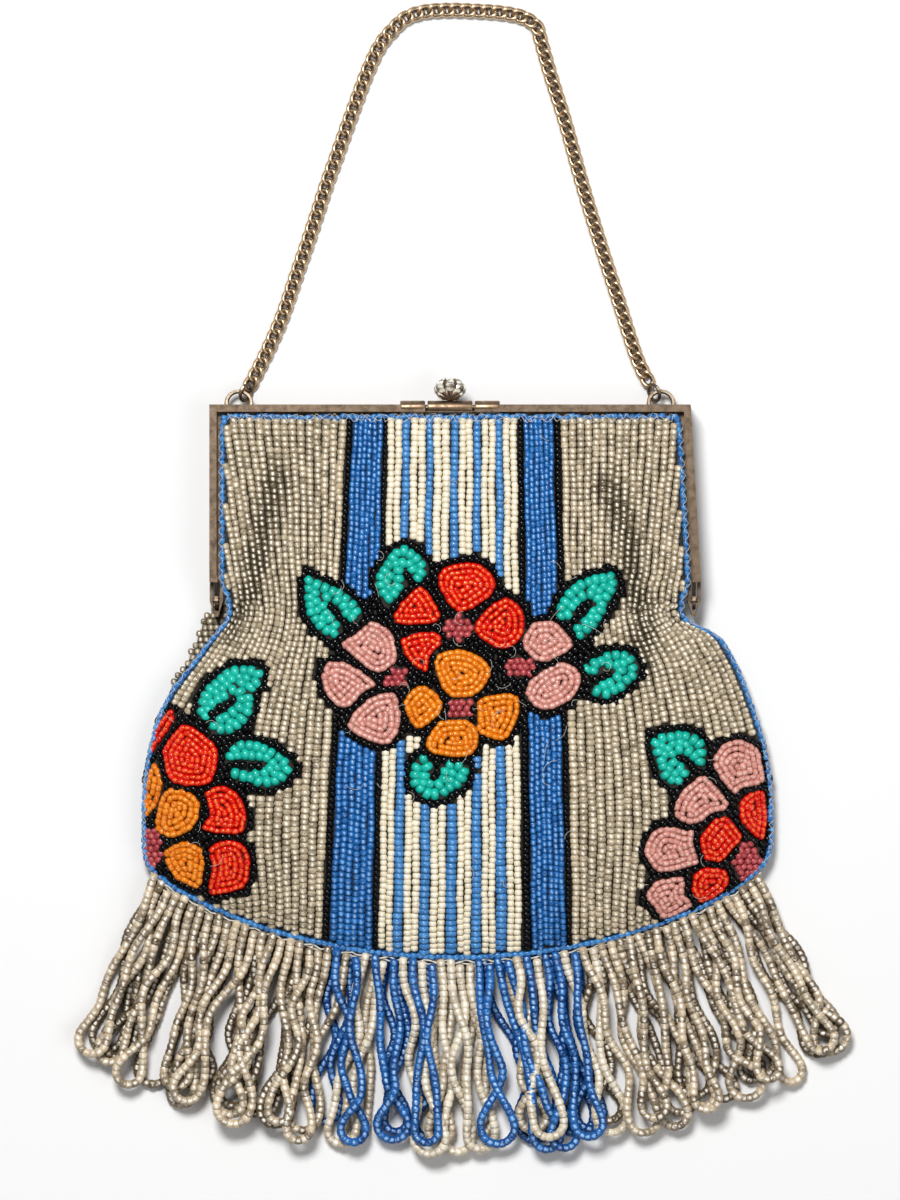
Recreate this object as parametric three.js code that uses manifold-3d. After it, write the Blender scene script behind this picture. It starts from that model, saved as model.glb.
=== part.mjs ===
// A beaded evening purse on a hinged metal frame, lying on its back with its front up.
// Millimetres. X runs along the frame's top rail, Y from the fringe towards the chain, and Z up
// from the surface that the purse lies on. The model is made with Y = 0 at the top of the rail
// and moved at the end, so that the origin is the middle of the base of its box.
import * as THREE from 'three';
import { mergeVertices } from 'three/addons/utils/BufferGeometryUtils.js';
import Module from 'manifold-3d';

const wasm = await Module();
wasm.setup();

// Clearance kept between neighbouring pieces
const gap = 0.3;

// How far a cutting shape reaches past what it cuts
const cutOver = 1;

// Corners nearer to each other than this are one corner
const weldDistance = 1e-4;

// Frame
const frameWidth = 120;
const frameDepth = 11;
const armLength = 44.3;
const rightArmSplay = 2.6;
const sheet = 0.8;
const lipWidth = 1.8;
const flangeReach = 4.2;

// Hinges, below the ends of the arms
const hingeDrop = 4.6;
const hingeWidth = 3.3;
const tongueRadius = 2.3;
const tongueThickness = 0.8;
const tongueArcStart = 0.35 * Math.PI;
const tongueArcEnd = 1.55 * Math.PI;
const tongueArcSteps = 8;
const forkLength = 8.6;
const forkWall = 0.75;
const forkDepth = 4.4;
const forkBelly = 0.8;
const forkTip = 0.25;
const hingePinRadius = 0.55;

// Clasp on the middle of the top rail
const barrelLength = 11.2;
const knuckleLength = 6.2;
const claspRadius = 1.6;
const claspPinRadius = 0.5;
const leverWidth = 4;
const leverThickness = 0.6;
const catchDepth = 0.8;
const catchZ = 2 * sheet;
const knobWidth = 7.4;
const knobHeight = 5.4;
const knobDepth = 5.6;
const lobes = 8;
const lobeDepth = 0.35;
const knobLean = THREE.MathUtils.degToRad(-38);
const stoneRadius = 0.62;
const stoneHeight = 0.56;
const stoneTableRadius = 0.34;
const stoneProud = 0.11;
const stoneRises = [0.55, -0.1];

// Rings and end links that carry the chain
const ringInset = 7.2;
const ringRadius = 3.1;
const ringWire = 0.55;
const ringTilt = THREE.MathUtils.degToRad(18);
const eyeWall = 0.5;
const eyeThickness = 0.825;
const eyeSteps = 8;
const linkRadius = 2.1;
const linkWire = 0.45;
const linkTwist = THREE.MathUtils.degToRad(52);
const linkDip = THREE.MathUtils.degToRad(14);

// Chain
const chainRise = 97.25;
const chainWidth = 3.6;
const chainHeight = 2.2;
const chainSteps = 76;
const chainSides = 8;

// Bag
const clothWall = 2.4;
const clothInset = 3.0;
const hingeInset = 4.2;
const bagWidth = 158.75;
const bagShift = 1.9;
const bagLength = 136.25;
const hemDrop = 24;
const hemRoundness = 0.77;
const bellyHeight = 15;
const foldDepth = 1.7;
const foldFade = 0.08;
const seamFall = 0.16;
const hemRollStart = 0.6;
const bagColumns = 26;
const frameRows = 8;
const hingeRows = 3;
const openRows = 15;

// Fringe
const fringeLength = 46.5;
const headWidth = 2.2;
const lockCount = 34;
const lockThickness = 2.4;
const lockOverlap = 0.4;
const lockRootWidth = 3.6;
const lockTipWidth = 6.6;
const fanLeft = THREE.MathUtils.degToRad(-20);
const fanRight = THREE.MathUtils.degToRad(26);
const lockWaist = 0.55;
const lockWaistWidth = 5.04;
const lockTipSteps = 5;
const lockLengthSwing = 0.04;
const lockLengthPace = 3.7;

// Two sways of different pace, in radians, make the locks hang unevenly
const lockSways = [
  { swing: 0.07, pace: 2.4 },
  { swing: 0.04, pace: 5.1 },
];

// Places worked out from the sizes above
const halfWidth = frameWidth / 2;
const partingZ = frameDepth / 2;
const hingeY = -(armLength + hingeDrop);
const claspZ = frameDepth - claspRadius;
const claspY = leverThickness + gap - claspRadius;
const clothTop = -clothInset;
const shoulderY = -(armLength + forkLength + gap);
const cornerY = -(clothInset + bagLength - hemDrop);
const seamTop = 2 * clothWall + gap;

// The cloth's sides below the hinges. down runs from the shoulders to the corners of the hem;
// the other columns go from the arm's outer face, 0, to the bag's widest place, 1.
const sideRows = [
  { down: 0.0, left: 0.1, seamLeft: -0.2, right: 0.18 },
  { down: 0.03, left: 0.17, seamLeft: -0.1, right: 0.25 },
  { down: 0.08, left: 0.23, seamLeft: 0.02, right: 0.33 },
  { down: 0.14, left: 0.29, seamLeft: 0.18, right: 0.44 },
  { down: 0.2, left: 0.41, seamLeft: 0.35, right: 0.55 },
  { down: 0.265, left: 0.57, seamLeft: 0.54, right: 0.64 },
  { down: 0.35, left: 0.72, seamLeft: 0.72, right: 0.74 },
  { down: 0.46, left: 0.86, seamLeft: 0.86, right: 0.87 },
  { down: 0.58, left: 0.955, seamLeft: 0.955, right: 0.95 },
  { down: 0.7, left: 1.0, seamLeft: 1.0, right: 1.0 },
  { down: 0.93, left: 1.0, seamLeft: 1.0, right: 1.0 },
  { down: 1.0, left: 0.955, seamLeft: 0.955, right: 0.91 },
];

// Height of the front down the middle of the bag, as a share of the way from the frame's depth
// to the belly's height
const bellyRows = [
  { down: 0.0, rise: 0.0 },
  { down: 0.12, rise: 0.2 },
  { down: 0.35, rise: 0.6 },
  { down: 0.6, rise: 1.0 },
  { down: 0.8, rise: 0.8 },
  { down: 1.0, rise: 0.0 },
];

// Valleys in the front: where each starts and ends, across and down the panel, how deep it is
// as a share of foldDepth, and how wide as a share of bagWidth
const foldRows = [
  { across: 0.12, down: 0.07, toAcross: 0.08, toDown: 0.3, depth: 0.7, width: 0.03 },
  { across: 0.08, down: 0.3, toAcross: 0.06, toDown: 0.52, depth: 1.0, width: 0.03 },
  { across: 0.82, down: 0.1, toAcross: 0.875, toDown: 0.34, depth: 0.55, width: 0.03 },
  { across: 0.875, down: 0.34, toAcross: 0.82, toDown: 0.6, depth: 0.9, width: 0.032 },
  { across: 0.2, down: 0.5, toAcross: 0.19, toDown: 0.72, depth: 0.35, width: 0.03 },
];

// The chain's route between its end links, chosen by hand: across as a share of the distance
// from the middle of the rail to a ring, up as a share of chainRise
const chainRoute = [
  { across: -0.866, up: 0.123 },
  { across: -0.795, up: 0.212 },
  { across: -0.731, up: 0.314 },
  { across: -0.663, up: 0.422 },
  { across: -0.587, up: 0.549 },
  { across: -0.534, up: 0.63 },
  { across: -0.466, up: 0.734 },
  { across: -0.39, up: 0.844 },
  { across: -0.331, up: 0.91 },
  { across: -0.269, up: 0.951 },
  { across: -0.208, up: 0.98 },
  { across: -0.117, up: 0.996 },
  { across: 0.0, up: 1.0 },
  { across: 0.114, up: 0.998 },
  { across: 0.227, up: 0.994 },
  { across: 0.318, up: 0.986 },
  { across: 0.373, up: 0.974 },
  { across: 0.415, up: 0.953 },
  { across: 0.432, up: 0.918 },
  { across: 0.479, up: 0.828 },
  { across: 0.545, up: 0.713 },
  { across: 0.625, up: 0.555 },
  { across: 0.706, up: 0.409 },
  { across: 0.795, up: 0.258 },
  { across: 0.884, up: 0.107 },
];

// Reads one column of a table, in straight lines between its rows
function readTable(rows, key, column, at) {
  const next = rows.findIndex((row) => row[key] >= at);
  if (next <= 0) return rows[next === 0 ? 0 : rows.length - 1][column];
  const before = rows[next - 1];
  const after = rows[next];
  const share = (at - before[key]) / (after[key] - before[key]);
  return THREE.MathUtils.lerp(before[column], after[column], share);
}

function point2(x, y) {
  return new THREE.Vector2(x, y);
}

// Solids: three.js geometry in, three.js geometry out, joined and cut in between

function toSolid(geometry) {
  const bare = geometry.clone();
  bare.deleteAttribute('normal');
  bare.deleteAttribute('uv');
  const merged = mergeVertices(bare, weldDistance);
  return new wasm.Manifold(new wasm.Mesh({
    numProp: 3,
    vertProperties: new Float32Array(merged.attributes.position.array),
    triVerts: new Uint32Array(merged.index.array),
  }));
}

function toGeometry(solid) {
  const mesh = solid.getMesh();
  const geometry = new THREE.BufferGeometry();
  geometry.setAttribute('position', new THREE.BufferAttribute(mesh.vertProperties, 3));
  geometry.setIndex(new THREE.BufferAttribute(mesh.triVerts, 1));
  geometry.computeVertexNormals();
  return geometry;
}

function join(geometries) {
  return geometries.map(toSolid).reduce((whole, solid) => whole.add(solid));
}

// A box given by its lowest and highest corners
function block(low, high) {
  const size = new THREE.Vector3().subVectors(high, low);
  const middle = new THREE.Vector3().addVectors(low, high).multiplyScalar(0.5);
  return new THREE.BoxGeometry(size.x, size.y, size.z).translate(middle.x, middle.y, middle.z);
}

// An outline in the XY plane, raised between two heights
function raised(points, lowZ, highZ) {
  const shape = new THREE.Shape(points);
  const settings = { depth: highZ - lowZ, bevelEnabled: false, steps: 1 };
  return new THREE.ExtrudeGeometry(shape, settings).translate(0, 0, lowZ);
}

// An outline drawn as (y, z), given a thickness along X about x
function crosswise(points, x, thickness) {
  const turn = new THREE.Matrix4().makeBasis(
    new THREE.Vector3(0, 1, 0),
    new THREE.Vector3(0, 0, 1),
    new THREE.Vector3(1, 0, 0),
  );
  return raised(points, -thickness / 2, thickness / 2).applyMatrix4(turn).translate(x, 0, 0);
}

// A round bar along X
function bar(radius, length, x, y, z, sides = 16) {
  const round = new THREE.CylinderGeometry(radius, radius, length, sides);
  return round.rotateZ(Math.PI / 2).translate(x, y, z);
}

// Frame

// The right arm leans out, so its outer face moves with Y
function rightFace(y) {
  return halfWidth - (rightArmSplay * y) / armLength;
}

// The rail and both arms as one outline, between two insets from the outer face
function archOutline(near, far) {
  return [
    point2(-halfWidth + near, -armLength),
    point2(-halfWidth + near, -near),
    point2(rightFace(-near) - near, -near),
    point2(rightFace(-armLength) - near, -armLength),
    point2(rightFace(-armLength) - far, -armLength),
    point2(rightFace(-far) - far, -far),
    point2(-halfWidth + far, -far),
    point2(-halfWidth + far, -armLength),
  ].reverse();
}

// Wall from the parting plane to the outer lip, with a sewing flange inside the lip
function frameHalf(partingFace, lipFace) {
  const out = Math.sign(lipFace - partingFace);
  const flangeOuter = lipFace - out * (clothWall + gap);
  const flangeInner = flangeOuter - out * sheet;
  const lipInner = lipFace - out * sheet;
  const band = (near, far, a, b) => raised(archOutline(near, far), Math.min(a, b), Math.max(a, b));
  return [
    band(0, sheet, partingFace, lipFace),
    band(0, lipWidth, lipInner, lipFace),
    band(sheet / 2, flangeReach, flangeInner, flangeOuter),
  ];
}

const hingeCentres = {
  left: -halfWidth + hingeWidth / 2,
  right: rightFace(-armLength) - hingeWidth / 2,
};

// The front half's tongue: from the arm down to a round end on the hinge's axis
function hingeTongue(x) {
  const rootY = -armLength + 2 * sheet;
  const points = [
    point2(rootY, partingZ + gap / 2),
    point2(rootY, frameDepth),
    point2(-armLength, frameDepth),
  ];
  for (let step = 0; step <= tongueArcSteps; step += 1) {
    const angle = THREE.MathUtils.lerp(tongueArcStart, tongueArcEnd, step / tongueArcSteps);
    points.push(point2(
      hingeY + tongueRadius * Math.cos(angle),
      partingZ + tongueRadius * Math.sin(angle),
    ));
  }
  points.push(point2(-armLength, partingZ + gap / 2));
  return crosswise(points.reverse(), x, tongueThickness);
}

// The back half's fork: two prongs that close to a point below the axis, and the neck that
// joins them to the arm
function hingeFork(x) {
  const half = hingeWidth / 2;
  const top = -armLength - gap;
  const tip = -armLength - forkLength;
  const belly = hingeY - tongueRadius / 2;
  const slotEnd = hingeY - tongueRadius - gap;
  const slotHalf = half - forkWall;
  const outer = [
    point2(x - half, top),
    point2(x - half, hingeY),
    point2(x - half * forkBelly, belly),
    point2(x - half * forkTip, tip),
    point2(x + half * forkTip, tip),
    point2(x + half * forkBelly, belly),
    point2(x + half, hingeY),
    point2(x + half, top),
  ];
  const inner = [
    point2(x + slotHalf, top),
    point2(x + slotHalf, hingeY),
    point2(x + tongueThickness / 2 + gap, slotEnd),
    point2(x - tongueThickness / 2 - gap, slotEnd),
    point2(x - slotHalf, hingeY),
    point2(x - slotHalf, top),
  ];
  const prongs = raised([...outer, ...inner], partingZ - forkDepth / 2, partingZ + forkDepth / 2);
  const neckTop = partingZ - gap / 2;
  const neck = (side) => {
    const neckX = x + side * (half - forkWall / 2);
    return block(
      new THREE.Vector3(neckX - forkWall / 2, top - sheet, clothWall + gap),
      new THREE.Vector3(neckX + forkWall / 2, -armLength + sheet, neckTop),
    );
  };
  return [prongs, neck(-1), neck(1)];
}

function hingeBores() {
  const radius = hingePinRadius + gap;
  return join([
    bar(radius, 2 * hingeWidth, hingeCentres.left, hingeY, partingZ),
    bar(radius, 2 * hingeWidth, hingeCentres.right, hingeY, partingZ),
  ]);
}

// Clasp

const knuckleX = barrelLength / 2 + 2 * gap + knuckleLength / 2;
const claspSpan = barrelLength + 4 * gap + 2 * knuckleLength;

function makeFrameFront() {
  const whole = join([
    ...frameHalf(partingZ + gap / 2, frameDepth),
    hingeTongue(hingeCentres.left),
    hingeTongue(hingeCentres.right),
    bar(claspRadius, knuckleLength, -knuckleX, claspY, claspZ),
    bar(claspRadius, knuckleLength, knuckleX, claspY, claspZ),
  ]);
  const barrelRoom = bar(claspRadius + gap, barrelLength + 4 * gap, 0, claspY, claspZ);
  const pinRoom = bar(claspPinRadius + gap, claspSpan + 2 * cutOver, 0, claspY, claspZ);
  return toGeometry(whole.subtract(join([barrelRoom, pinRoom])).subtract(hingeBores()));
}

// The lever's tongue lies on the rail and drops a catch into a slot in the back half
function makeClaspLever() {
  const topY = leverThickness + gap;
  const whole = join([
    bar(claspRadius, barrelLength, 0, claspY, claspZ),
    block(
      new THREE.Vector3(-leverWidth / 2, gap, catchZ - leverThickness / 2),
      new THREE.Vector3(leverWidth / 2, topY, claspZ),
    ),
    block(
      new THREE.Vector3(-leverWidth / 2 + gap, -catchDepth + gap, catchZ - leverThickness / 2),
      new THREE.Vector3(leverWidth / 2 - gap, topY, catchZ + leverThickness / 2),
    ),
  ]);
  const bore = bar(claspPinRadius + gap, barrelLength + 2 * cutOver, 0, claspY, claspZ);
  return toGeometry(whole.subtract(toSolid(bore)));
}

// A ball with flutes that fan out from its foot, and a cut stone set at two heights in each
const knobMiddle = new THREE.Vector3(0, leverThickness + 2 * gap + knobHeight / 2, claspZ);

function knobPoint(turn, rise, reach) {
  const flute = 1 - lobeDepth * Math.cos(rise) * (1 - Math.abs(Math.cos((lobes * turn) / 2)));
  const unit = new THREE.Vector3(
    Math.cos(rise) * Math.sin(turn),
    Math.sin(rise),
    Math.cos(rise) * Math.cos(turn),
  ).multiplyScalar(flute * reach);
  unit.applyAxisAngle(new THREE.Vector3(1, 0, 0), knobLean);
  return unit.multiply(new THREE.Vector3(knobWidth, knobHeight, knobDepth).multiplyScalar(0.5));
}

function knobBall() {
  const ball = new THREE.SphereGeometry(1, lobes * 4, 9);
  const place = ball.attributes.position;
  for (let index = 0; index < place.count; index += 1) {
    const unit = new THREE.Vector3().fromBufferAttribute(place, index);
    const turn = Math.atan2(unit.x, unit.z);
    const rise = Math.asin(THREE.MathUtils.clamp(unit.y, -1, 1));
    const moved = knobPoint(turn, rise, 1);
    place.setXYZ(index, moved.x, moved.y, moved.z);
  }
  return ball;
}

// An eight-sided stone with a table, sunk into the ball where it is set
function knobStone(turn, rise) {
  const seat = knobPoint(turn, rise, 1);
  const stone = new THREE.CylinderGeometry(stoneTableRadius, stoneRadius, stoneHeight, 8);
  const out = seat.clone().normalize();
  stone.applyQuaternion(new THREE.Quaternion().setFromUnitVectors(new THREE.Vector3(0, 1, 0), out));
  seat.addScaledVector(out, stoneProud);
  return stone.translate(seat.x, seat.y, seat.z);
}

function makeClaspKnob() {
  const pieces = [knobBall()];
  for (let lobe = 0; lobe < lobes; lobe += 1) {
    const turn = (lobe * 2 * Math.PI) / lobes;
    stoneRises.forEach((rise) => pieces.push(knobStone(turn, rise)));
  }
  const knob = join(pieces).translate([knobMiddle.x, knobMiddle.y, knobMiddle.z]);
  const lever = block(
    new THREE.Vector3(-knobWidth, -knobHeight, -knobDepth),
    new THREE.Vector3(knobWidth, leverThickness + 2 * gap, 2 * frameDepth),
  );
  return toGeometry(knob.subtract(toSolid(lever)));
}

// Rings, end links and the eyes that hold the rings

const eyeRadius = ringWire + gap;
const eyeOuter = eyeRadius + eyeWall;
const eyeY = -(sheet + eyeOuter + gap);
const eyeZ = clothWall + 2 * gap + sheet + eyeRadius + gap;
const ringCentreX = halfWidth - ringInset;
const ringCentre = new THREE.Vector3(
  0,
  eyeY + ringRadius * Math.cos(ringTilt),
  eyeZ - ringRadius * Math.sin(ringTilt),
);

// A small arch standing on the back half's sewing flange, with the ring's wire through it
function ringEye(x) {
  const foot = clothWall + gap + sheet / 2;
  const points = [point2(eyeY + eyeOuter, foot)];
  for (let step = 0; step <= eyeSteps; step += 1) {
    const angle = (step * Math.PI) / eyeSteps;
    points.push(point2(eyeY + eyeOuter * Math.cos(angle), eyeZ + eyeOuter * Math.sin(angle)));
  }
  points.push(point2(eyeY - eyeOuter, foot));
  return crosswise(points, x, eyeThickness);
}

// What is cut from the back half round one ring: the eye's hole and a notch in the rail's wall
function ringRoom(x) {
  const notchHalf = ringRadius + ringWire + gap;
  const notchFloor = clothWall + gap + sheet;
  return [
    bar(eyeRadius, 4 * ringWire, x, eyeY, eyeZ),
    block(
      new THREE.Vector3(x - notchHalf, -sheet - gap / 2, notchFloor - gap / 2),
      new THREE.Vector3(x + notchHalf, gap, frameDepth / 2),
    ),
  ];
}

function makeFrameBack() {
  const whole = join([
    ...frameHalf(partingZ - gap / 2, 0),
    ...hingeFork(hingeCentres.left),
    ...hingeFork(hingeCentres.right),
    ringEye(-ringCentreX),
    ringEye(ringCentreX),
  ]);
  const catchRoom = block(
    new THREE.Vector3(-leverWidth / 2, -sheet - gap, catchZ - leverThickness / 2 - gap),
    new THREE.Vector3(leverWidth / 2, gap, catchZ + leverThickness / 2 + gap),
  );
  const cuts = join([...ringRoom(-ringCentreX), ...ringRoom(ringCentreX), catchRoom]);
  return toGeometry(whole.subtract(cuts).subtract(hingeBores()));
}

// The way from a ring's centre towards the chain, as a unit vector in plan
function chainHeading(side) {
  const first = side < 0 ? chainRoute[0] : chainRoute[chainRoute.length - 1];
  const heading = point2(
    first.across * ringCentreX - side * ringCentreX,
    first.up * chainRise - ringCentre.y,
  );
  return heading.normalize();
}

function makeRing() {
  return new THREE.TorusGeometry(ringRadius, ringWire, 6, 16);
}

function makeEndLink() {
  return new THREE.TorusGeometry(linkRadius, linkWire, 6, 14);
}

// An end link's centre lies just past the ring's wire, and the link leans so that the two
// pass through each other
function endLinkCentre(side) {
  const heading = chainHeading(side);
  const reach = ringRadius + gap / 2;
  return new THREE.Vector3(
    side * ringCentreX + heading.x * reach,
    ringCentre.y + heading.y * reach * Math.cos(ringTilt),
    linkRadius * Math.sin(linkTwist) + linkWire + 2 * gap,
  );
}

function chainEnd(side) {
  const heading = chainHeading(side);
  const centre = endLinkCentre(side);
  const reach = linkRadius + linkWire + gap;
  return new THREE.Vector3(centre.x + heading.x * reach, centre.y + heading.y * reach, 0);
}

// Chain: a flat tube of the links' outer size, lying on the surface
function makeChain() {
  const places = [
    chainEnd(-1),
    ...chainRoute.map((row) => new THREE.Vector3(row.across * ringCentreX, row.up * chainRise, 0)),
    chainEnd(1),
  ];
  places.forEach((place) => place.setZ(chainHeight / 2));
  const route = new THREE.CatmullRomCurve3(places, false, 'centripetal');
  const section = [];
  const reach = 0.5 / Math.cos(Math.PI / chainSides);
  for (let side = 0; side < chainSides; side += 1) {
    const angle = ((side + 0.5) * 2 * Math.PI) / chainSides;
    section.push(point2(
      chainHeight * reach * Math.cos(angle),
      chainWidth * reach * Math.sin(angle),
    ));
  }
  const settings = { steps: chainSteps, extrudePath: route, bevelEnabled: false };
  return new THREE.ExtrudeGeometry(new THREE.Shape(section), settings);
}

// Bag

// How far down the sides the cloth is, as a share of the way from its top edge to the corners
const armShare = (armLength + gap - clothInset) / (clothTop - cornerY);
const shoulderShare = (clothTop - shoulderY) / (clothTop - cornerY);

// Even steps from one value towards another, with the first value and without the last
function evenSteps(from, to, count) {
  return Array.from({ length: count }, (_, index) => THREE.MathUtils.lerp(from, to, index / count));
}

const panelColumns = [...evenSteps(0, 1, bagColumns), 1];
const panelRows = [
  ...evenSteps(0, armShare, frameRows),
  ...evenSteps(armShare, shoulderShare, hingeRows),
  ...evenSteps(shoulderShare, 1, openRows),
  1,
];

// The side edge of a panel at a share of the way down: x and y
function sidePoint(side, down, column) {
  const y = THREE.MathUtils.lerp(clothTop, cornerY, down);
  const face = side < 0 ? -halfWidth : rightFace(Math.max(y, -armLength));
  const widest = bagShift + (side * bagWidth) / 2;
  const inset = down <= armShare ? clothInset : hingeInset;
  if (down <= shoulderShare + 1e-9 && column !== 'left') return point2(face - side * inset, y);
  if (down <= armShare) return point2(face - side * clothInset, y);
  const below = (y - shoulderY) / (cornerY - shoulderY);
  if (below >= 0) {
    const share = readTable(sideRows, 'down', column, below);
    return point2(THREE.MathUtils.lerp(face, widest, share), y);
  }
  const first = THREE.MathUtils.lerp(face, widest, sideRows[0][column]);
  const way = (down - armShare) / (shoulderShare - armShare);
  return point2(THREE.MathUtils.lerp(face - side * clothInset, first, way * way), y);
}

// The hem sags in an arc between the corners
function hemY(share) {
  const bow = 1 - (2 * share - 1) ** 2;
  return cornerY - hemDrop * Math.max(bow, 0) ** hemRoundness;
}

function frontPlan(share, down) {
  const left = sidePoint(-1, down, 'seamLeft');
  const right = sidePoint(1, down, 'right');
  return point2(
    THREE.MathUtils.lerp(left.x, right.x, share),
    THREE.MathUtils.lerp(clothTop, hemY(share), down),
  );
}

// Height of the cloth's outer face along the panel's sides: level in the frame, then down to
// the seam
function edgeHeight(down) {
  const way = THREE.MathUtils.smoothstep(down, armShare, armShare + seamFall);
  return THREE.MathUtils.lerp(frameDepth, seamTop, way);
}

function foldAt(share, down) {
  const here = frontPlan(share, down);
  let depth = 0;
  foldRows.forEach((row) => {
    const from = frontPlan(row.across, row.down);
    const along = frontPlan(row.toAcross, row.toDown).sub(from);
    const way = here.clone().sub(from).dot(along) / along.lengthSq();
    const nearest = from.addScaledVector(along, THREE.MathUtils.clamp(way, 0, 1));
    const away = here.distanceTo(nearest) / (row.width * bagWidth);
    depth = Math.max(depth, row.depth * Math.exp(-away * away));
  });
  return foldDepth * depth;
}

function frontHeight(share, down) {
  const edge = edgeHeight(down);
  const belly = readTable(bellyRows, 'down', 'rise', down);
  const middle = THREE.MathUtils.lerp(frameDepth, bellyHeight, belly);
  const sideRoll = Math.sqrt(Math.max(1 - (2 * share - 1) ** 4, 0));
  const pastRollStart = Math.max((down - hemRollStart) / (1 - hemRollStart), 0);
  const hemRoll = Math.sqrt(Math.max(1 - pastRollStart ** 3, 0));
  const fromSide = THREE.MathUtils.smoothstep(Math.min(share, 1 - share), 0, foldFade);
  const fromTop = Math.min(1, down / foldFade);
  const fold = foldAt(share, down) * fromSide * fromTop;
  return edge + ((middle - edge) * sideRoll - fold) * hemRoll;
}

// A closed sheet from a grid: outer and inner faces and the rim between them
function closedSheet(columns, rows, placeAt, heightAt, wall) {
  const wide = columns.length;
  const tall = rows.length;
  const positions = [];
  [0, wall].forEach((drop) => rows.forEach((down) => columns.forEach((share) => {
    const place = placeAt(share, down);
    positions.push(place.x, place.y, heightAt(share, down) - drop);
  })));
  const outer = (row, column) => row * wide + column;
  const inner = (row, column) => outer(row, column) + tall * wide;
  const faces = [];
  const quad = (a, b, c, d) => faces.push(a, b, c, a, c, d);
  const right = wide - 1;
  const bottom = tall - 1;
  for (let row = 0; row < bottom; row += 1) {
    const next = row + 1;
    for (let column = 0; column < right; column += 1) {
      const beside = column + 1;
      quad(outer(row, column), outer(next, column), outer(next, beside), outer(row, beside));
      quad(inner(row, column), inner(row, beside), inner(next, beside), inner(next, column));
    }
    quad(outer(row, 0), inner(row, 0), inner(next, 0), outer(next, 0));
    quad(outer(row, right), outer(next, right), inner(next, right), inner(row, right));
  }
  for (let column = 0; column < right; column += 1) {
    const beside = column + 1;
    quad(outer(0, column), outer(0, beside), inner(0, beside), inner(0, column));
    quad(outer(bottom, column), inner(bottom, column), inner(bottom, beside), outer(bottom, beside));
  }
  const geometry = new THREE.BufferGeometry();
  geometry.setAttribute('position', new THREE.Float32BufferAttribute(positions, 3));
  geometry.setIndex(faces);
  geometry.computeVertexNormals();
  return geometry;
}

function makeBagFront() {
  return closedSheet(panelColumns, panelRows, frontPlan, frontHeight, clothWall);
}

// The hem between the corners of the back panel
function hemPoint(share) {
  const left = sidePoint(-1, 1, 'left');
  const right = sidePoint(1, 1, 'right');
  return point2(THREE.MathUtils.lerp(left.x, right.x, share), hemY(share));
}

// The back lies flat on the surface
function makeBagBack() {
  const leftSide = panelRows.map((down) => sidePoint(-1, down, 'left'));
  const rightSide = panelRows.map((down) => sidePoint(1, down, 'right')).reverse();
  const hem = panelColumns.slice(1, -1).map((share) => hemPoint(share));
  return raised([...leftSide, ...hem, ...rightSide], 0, clothWall);
}

// Fringe

function hemNormal(share) {
  const step = 0.01;
  const along = hemPoint(Math.min(share + step, 1)).sub(hemPoint(Math.max(share - step, 0)));
  return point2(along.y, -along.x).normalize();
}

function besideHem(share, away) {
  return hemPoint(share).addScaledVector(hemNormal(share), away);
}

// One lock: narrow at the hem, widening to the round end of its loop
function fringeLock(index) {
  const share = (index + 0.5) / lockCount;
  const sway = lockSways.reduce((sum, row) => sum + row.swing * Math.sin(index * row.pace), 0);
  const angle = THREE.MathUtils.lerp(fanLeft, fanRight, share) + sway;
  const length = fringeLength * (1 + lockLengthSwing * Math.sin(index * lockLengthPace));
  const root = besideHem(share, gap + headWidth / 2);
  const along = point2(Math.sin(angle), -Math.cos(angle));
  const sideways = point2(along.y, -along.x);
  const place = (away, aside) => {
    return root.clone().addScaledVector(along, away).addScaledVector(sideways, aside);
  };
  const round = lockTipWidth / 2;
  const waist = lockWaist * length;
  const points = [place(0, lockRootWidth / 2), place(waist, lockWaistWidth / 2)];
  for (let step = 0; step <= lockTipSteps; step += 1) {
    const turn = (step * Math.PI) / lockTipSteps;
    points.push(place(length - round + round * Math.sin(turn), round * Math.cos(turn)));
  }
  points.push(place(waist, -lockWaistWidth / 2), place(0, -lockRootWidth / 2));
  const low = index % 2 === 0 ? 0 : lockThickness - lockOverlap;
  return raised(points.reverse(), low, low + lockThickness);
}

function makeFringe() {
  const inner = panelColumns.map((share) => besideHem(share, gap));
  const outer = panelColumns.map((share) => besideHem(share, gap + headWidth));
  const headTop = 2 * lockThickness - lockOverlap;
  const head = raised([...outer, ...inner.reverse()].reverse(), 0, headTop);
  const locks = Array.from({ length: lockCount }, (_, index) => fringeLock(index));
  return toGeometry(join([head, ...locks]));
}

// The whole

const brass = { color: 0x8f7a55, roughness: 0.42, metalness: 1.0 };
const gilt = { color: 0xb59b62, roughness: 0.32, metalness: 1.0 };
const beadedCloth = { color: 0xb4ab97, roughness: 0.5, metalness: 0.0 };
const beadFringe = { color: 0x8f877b, roughness: 0.4, metalness: 0.0 };
const stones = { color: 0xd9dcd6, roughness: 0.12, metalness: 0.4 };

const purse = new THREE.Group();

function addPiece(name, geometry, finish) {
  const mesh = new THREE.Mesh(geometry, new THREE.MeshStandardMaterial(finish));
  mesh.name = name;
  purse.add(mesh);
  return mesh;
}

addPiece('frame_front', makeFrameFront(), brass);
addPiece('frame_back', makeFrameBack(), brass);
addPiece('hinge_pin_left', bar(hingePinRadius, hingeWidth, 0, 0, 0, 12), brass)
  .position.set(hingeCentres.left, hingeY, partingZ);
addPiece('hinge_pin_right', bar(hingePinRadius, hingeWidth, 0, 0, 0, 12), brass)
  .position.set(hingeCentres.right, hingeY, partingZ);
addPiece('clasp_lever', makeClaspLever(), brass);
addPiece('clasp_knob', makeClaspKnob(), stones);
addPiece('clasp_pin', bar(claspPinRadius, claspSpan, 0, claspY, claspZ, 12), brass);

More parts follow.
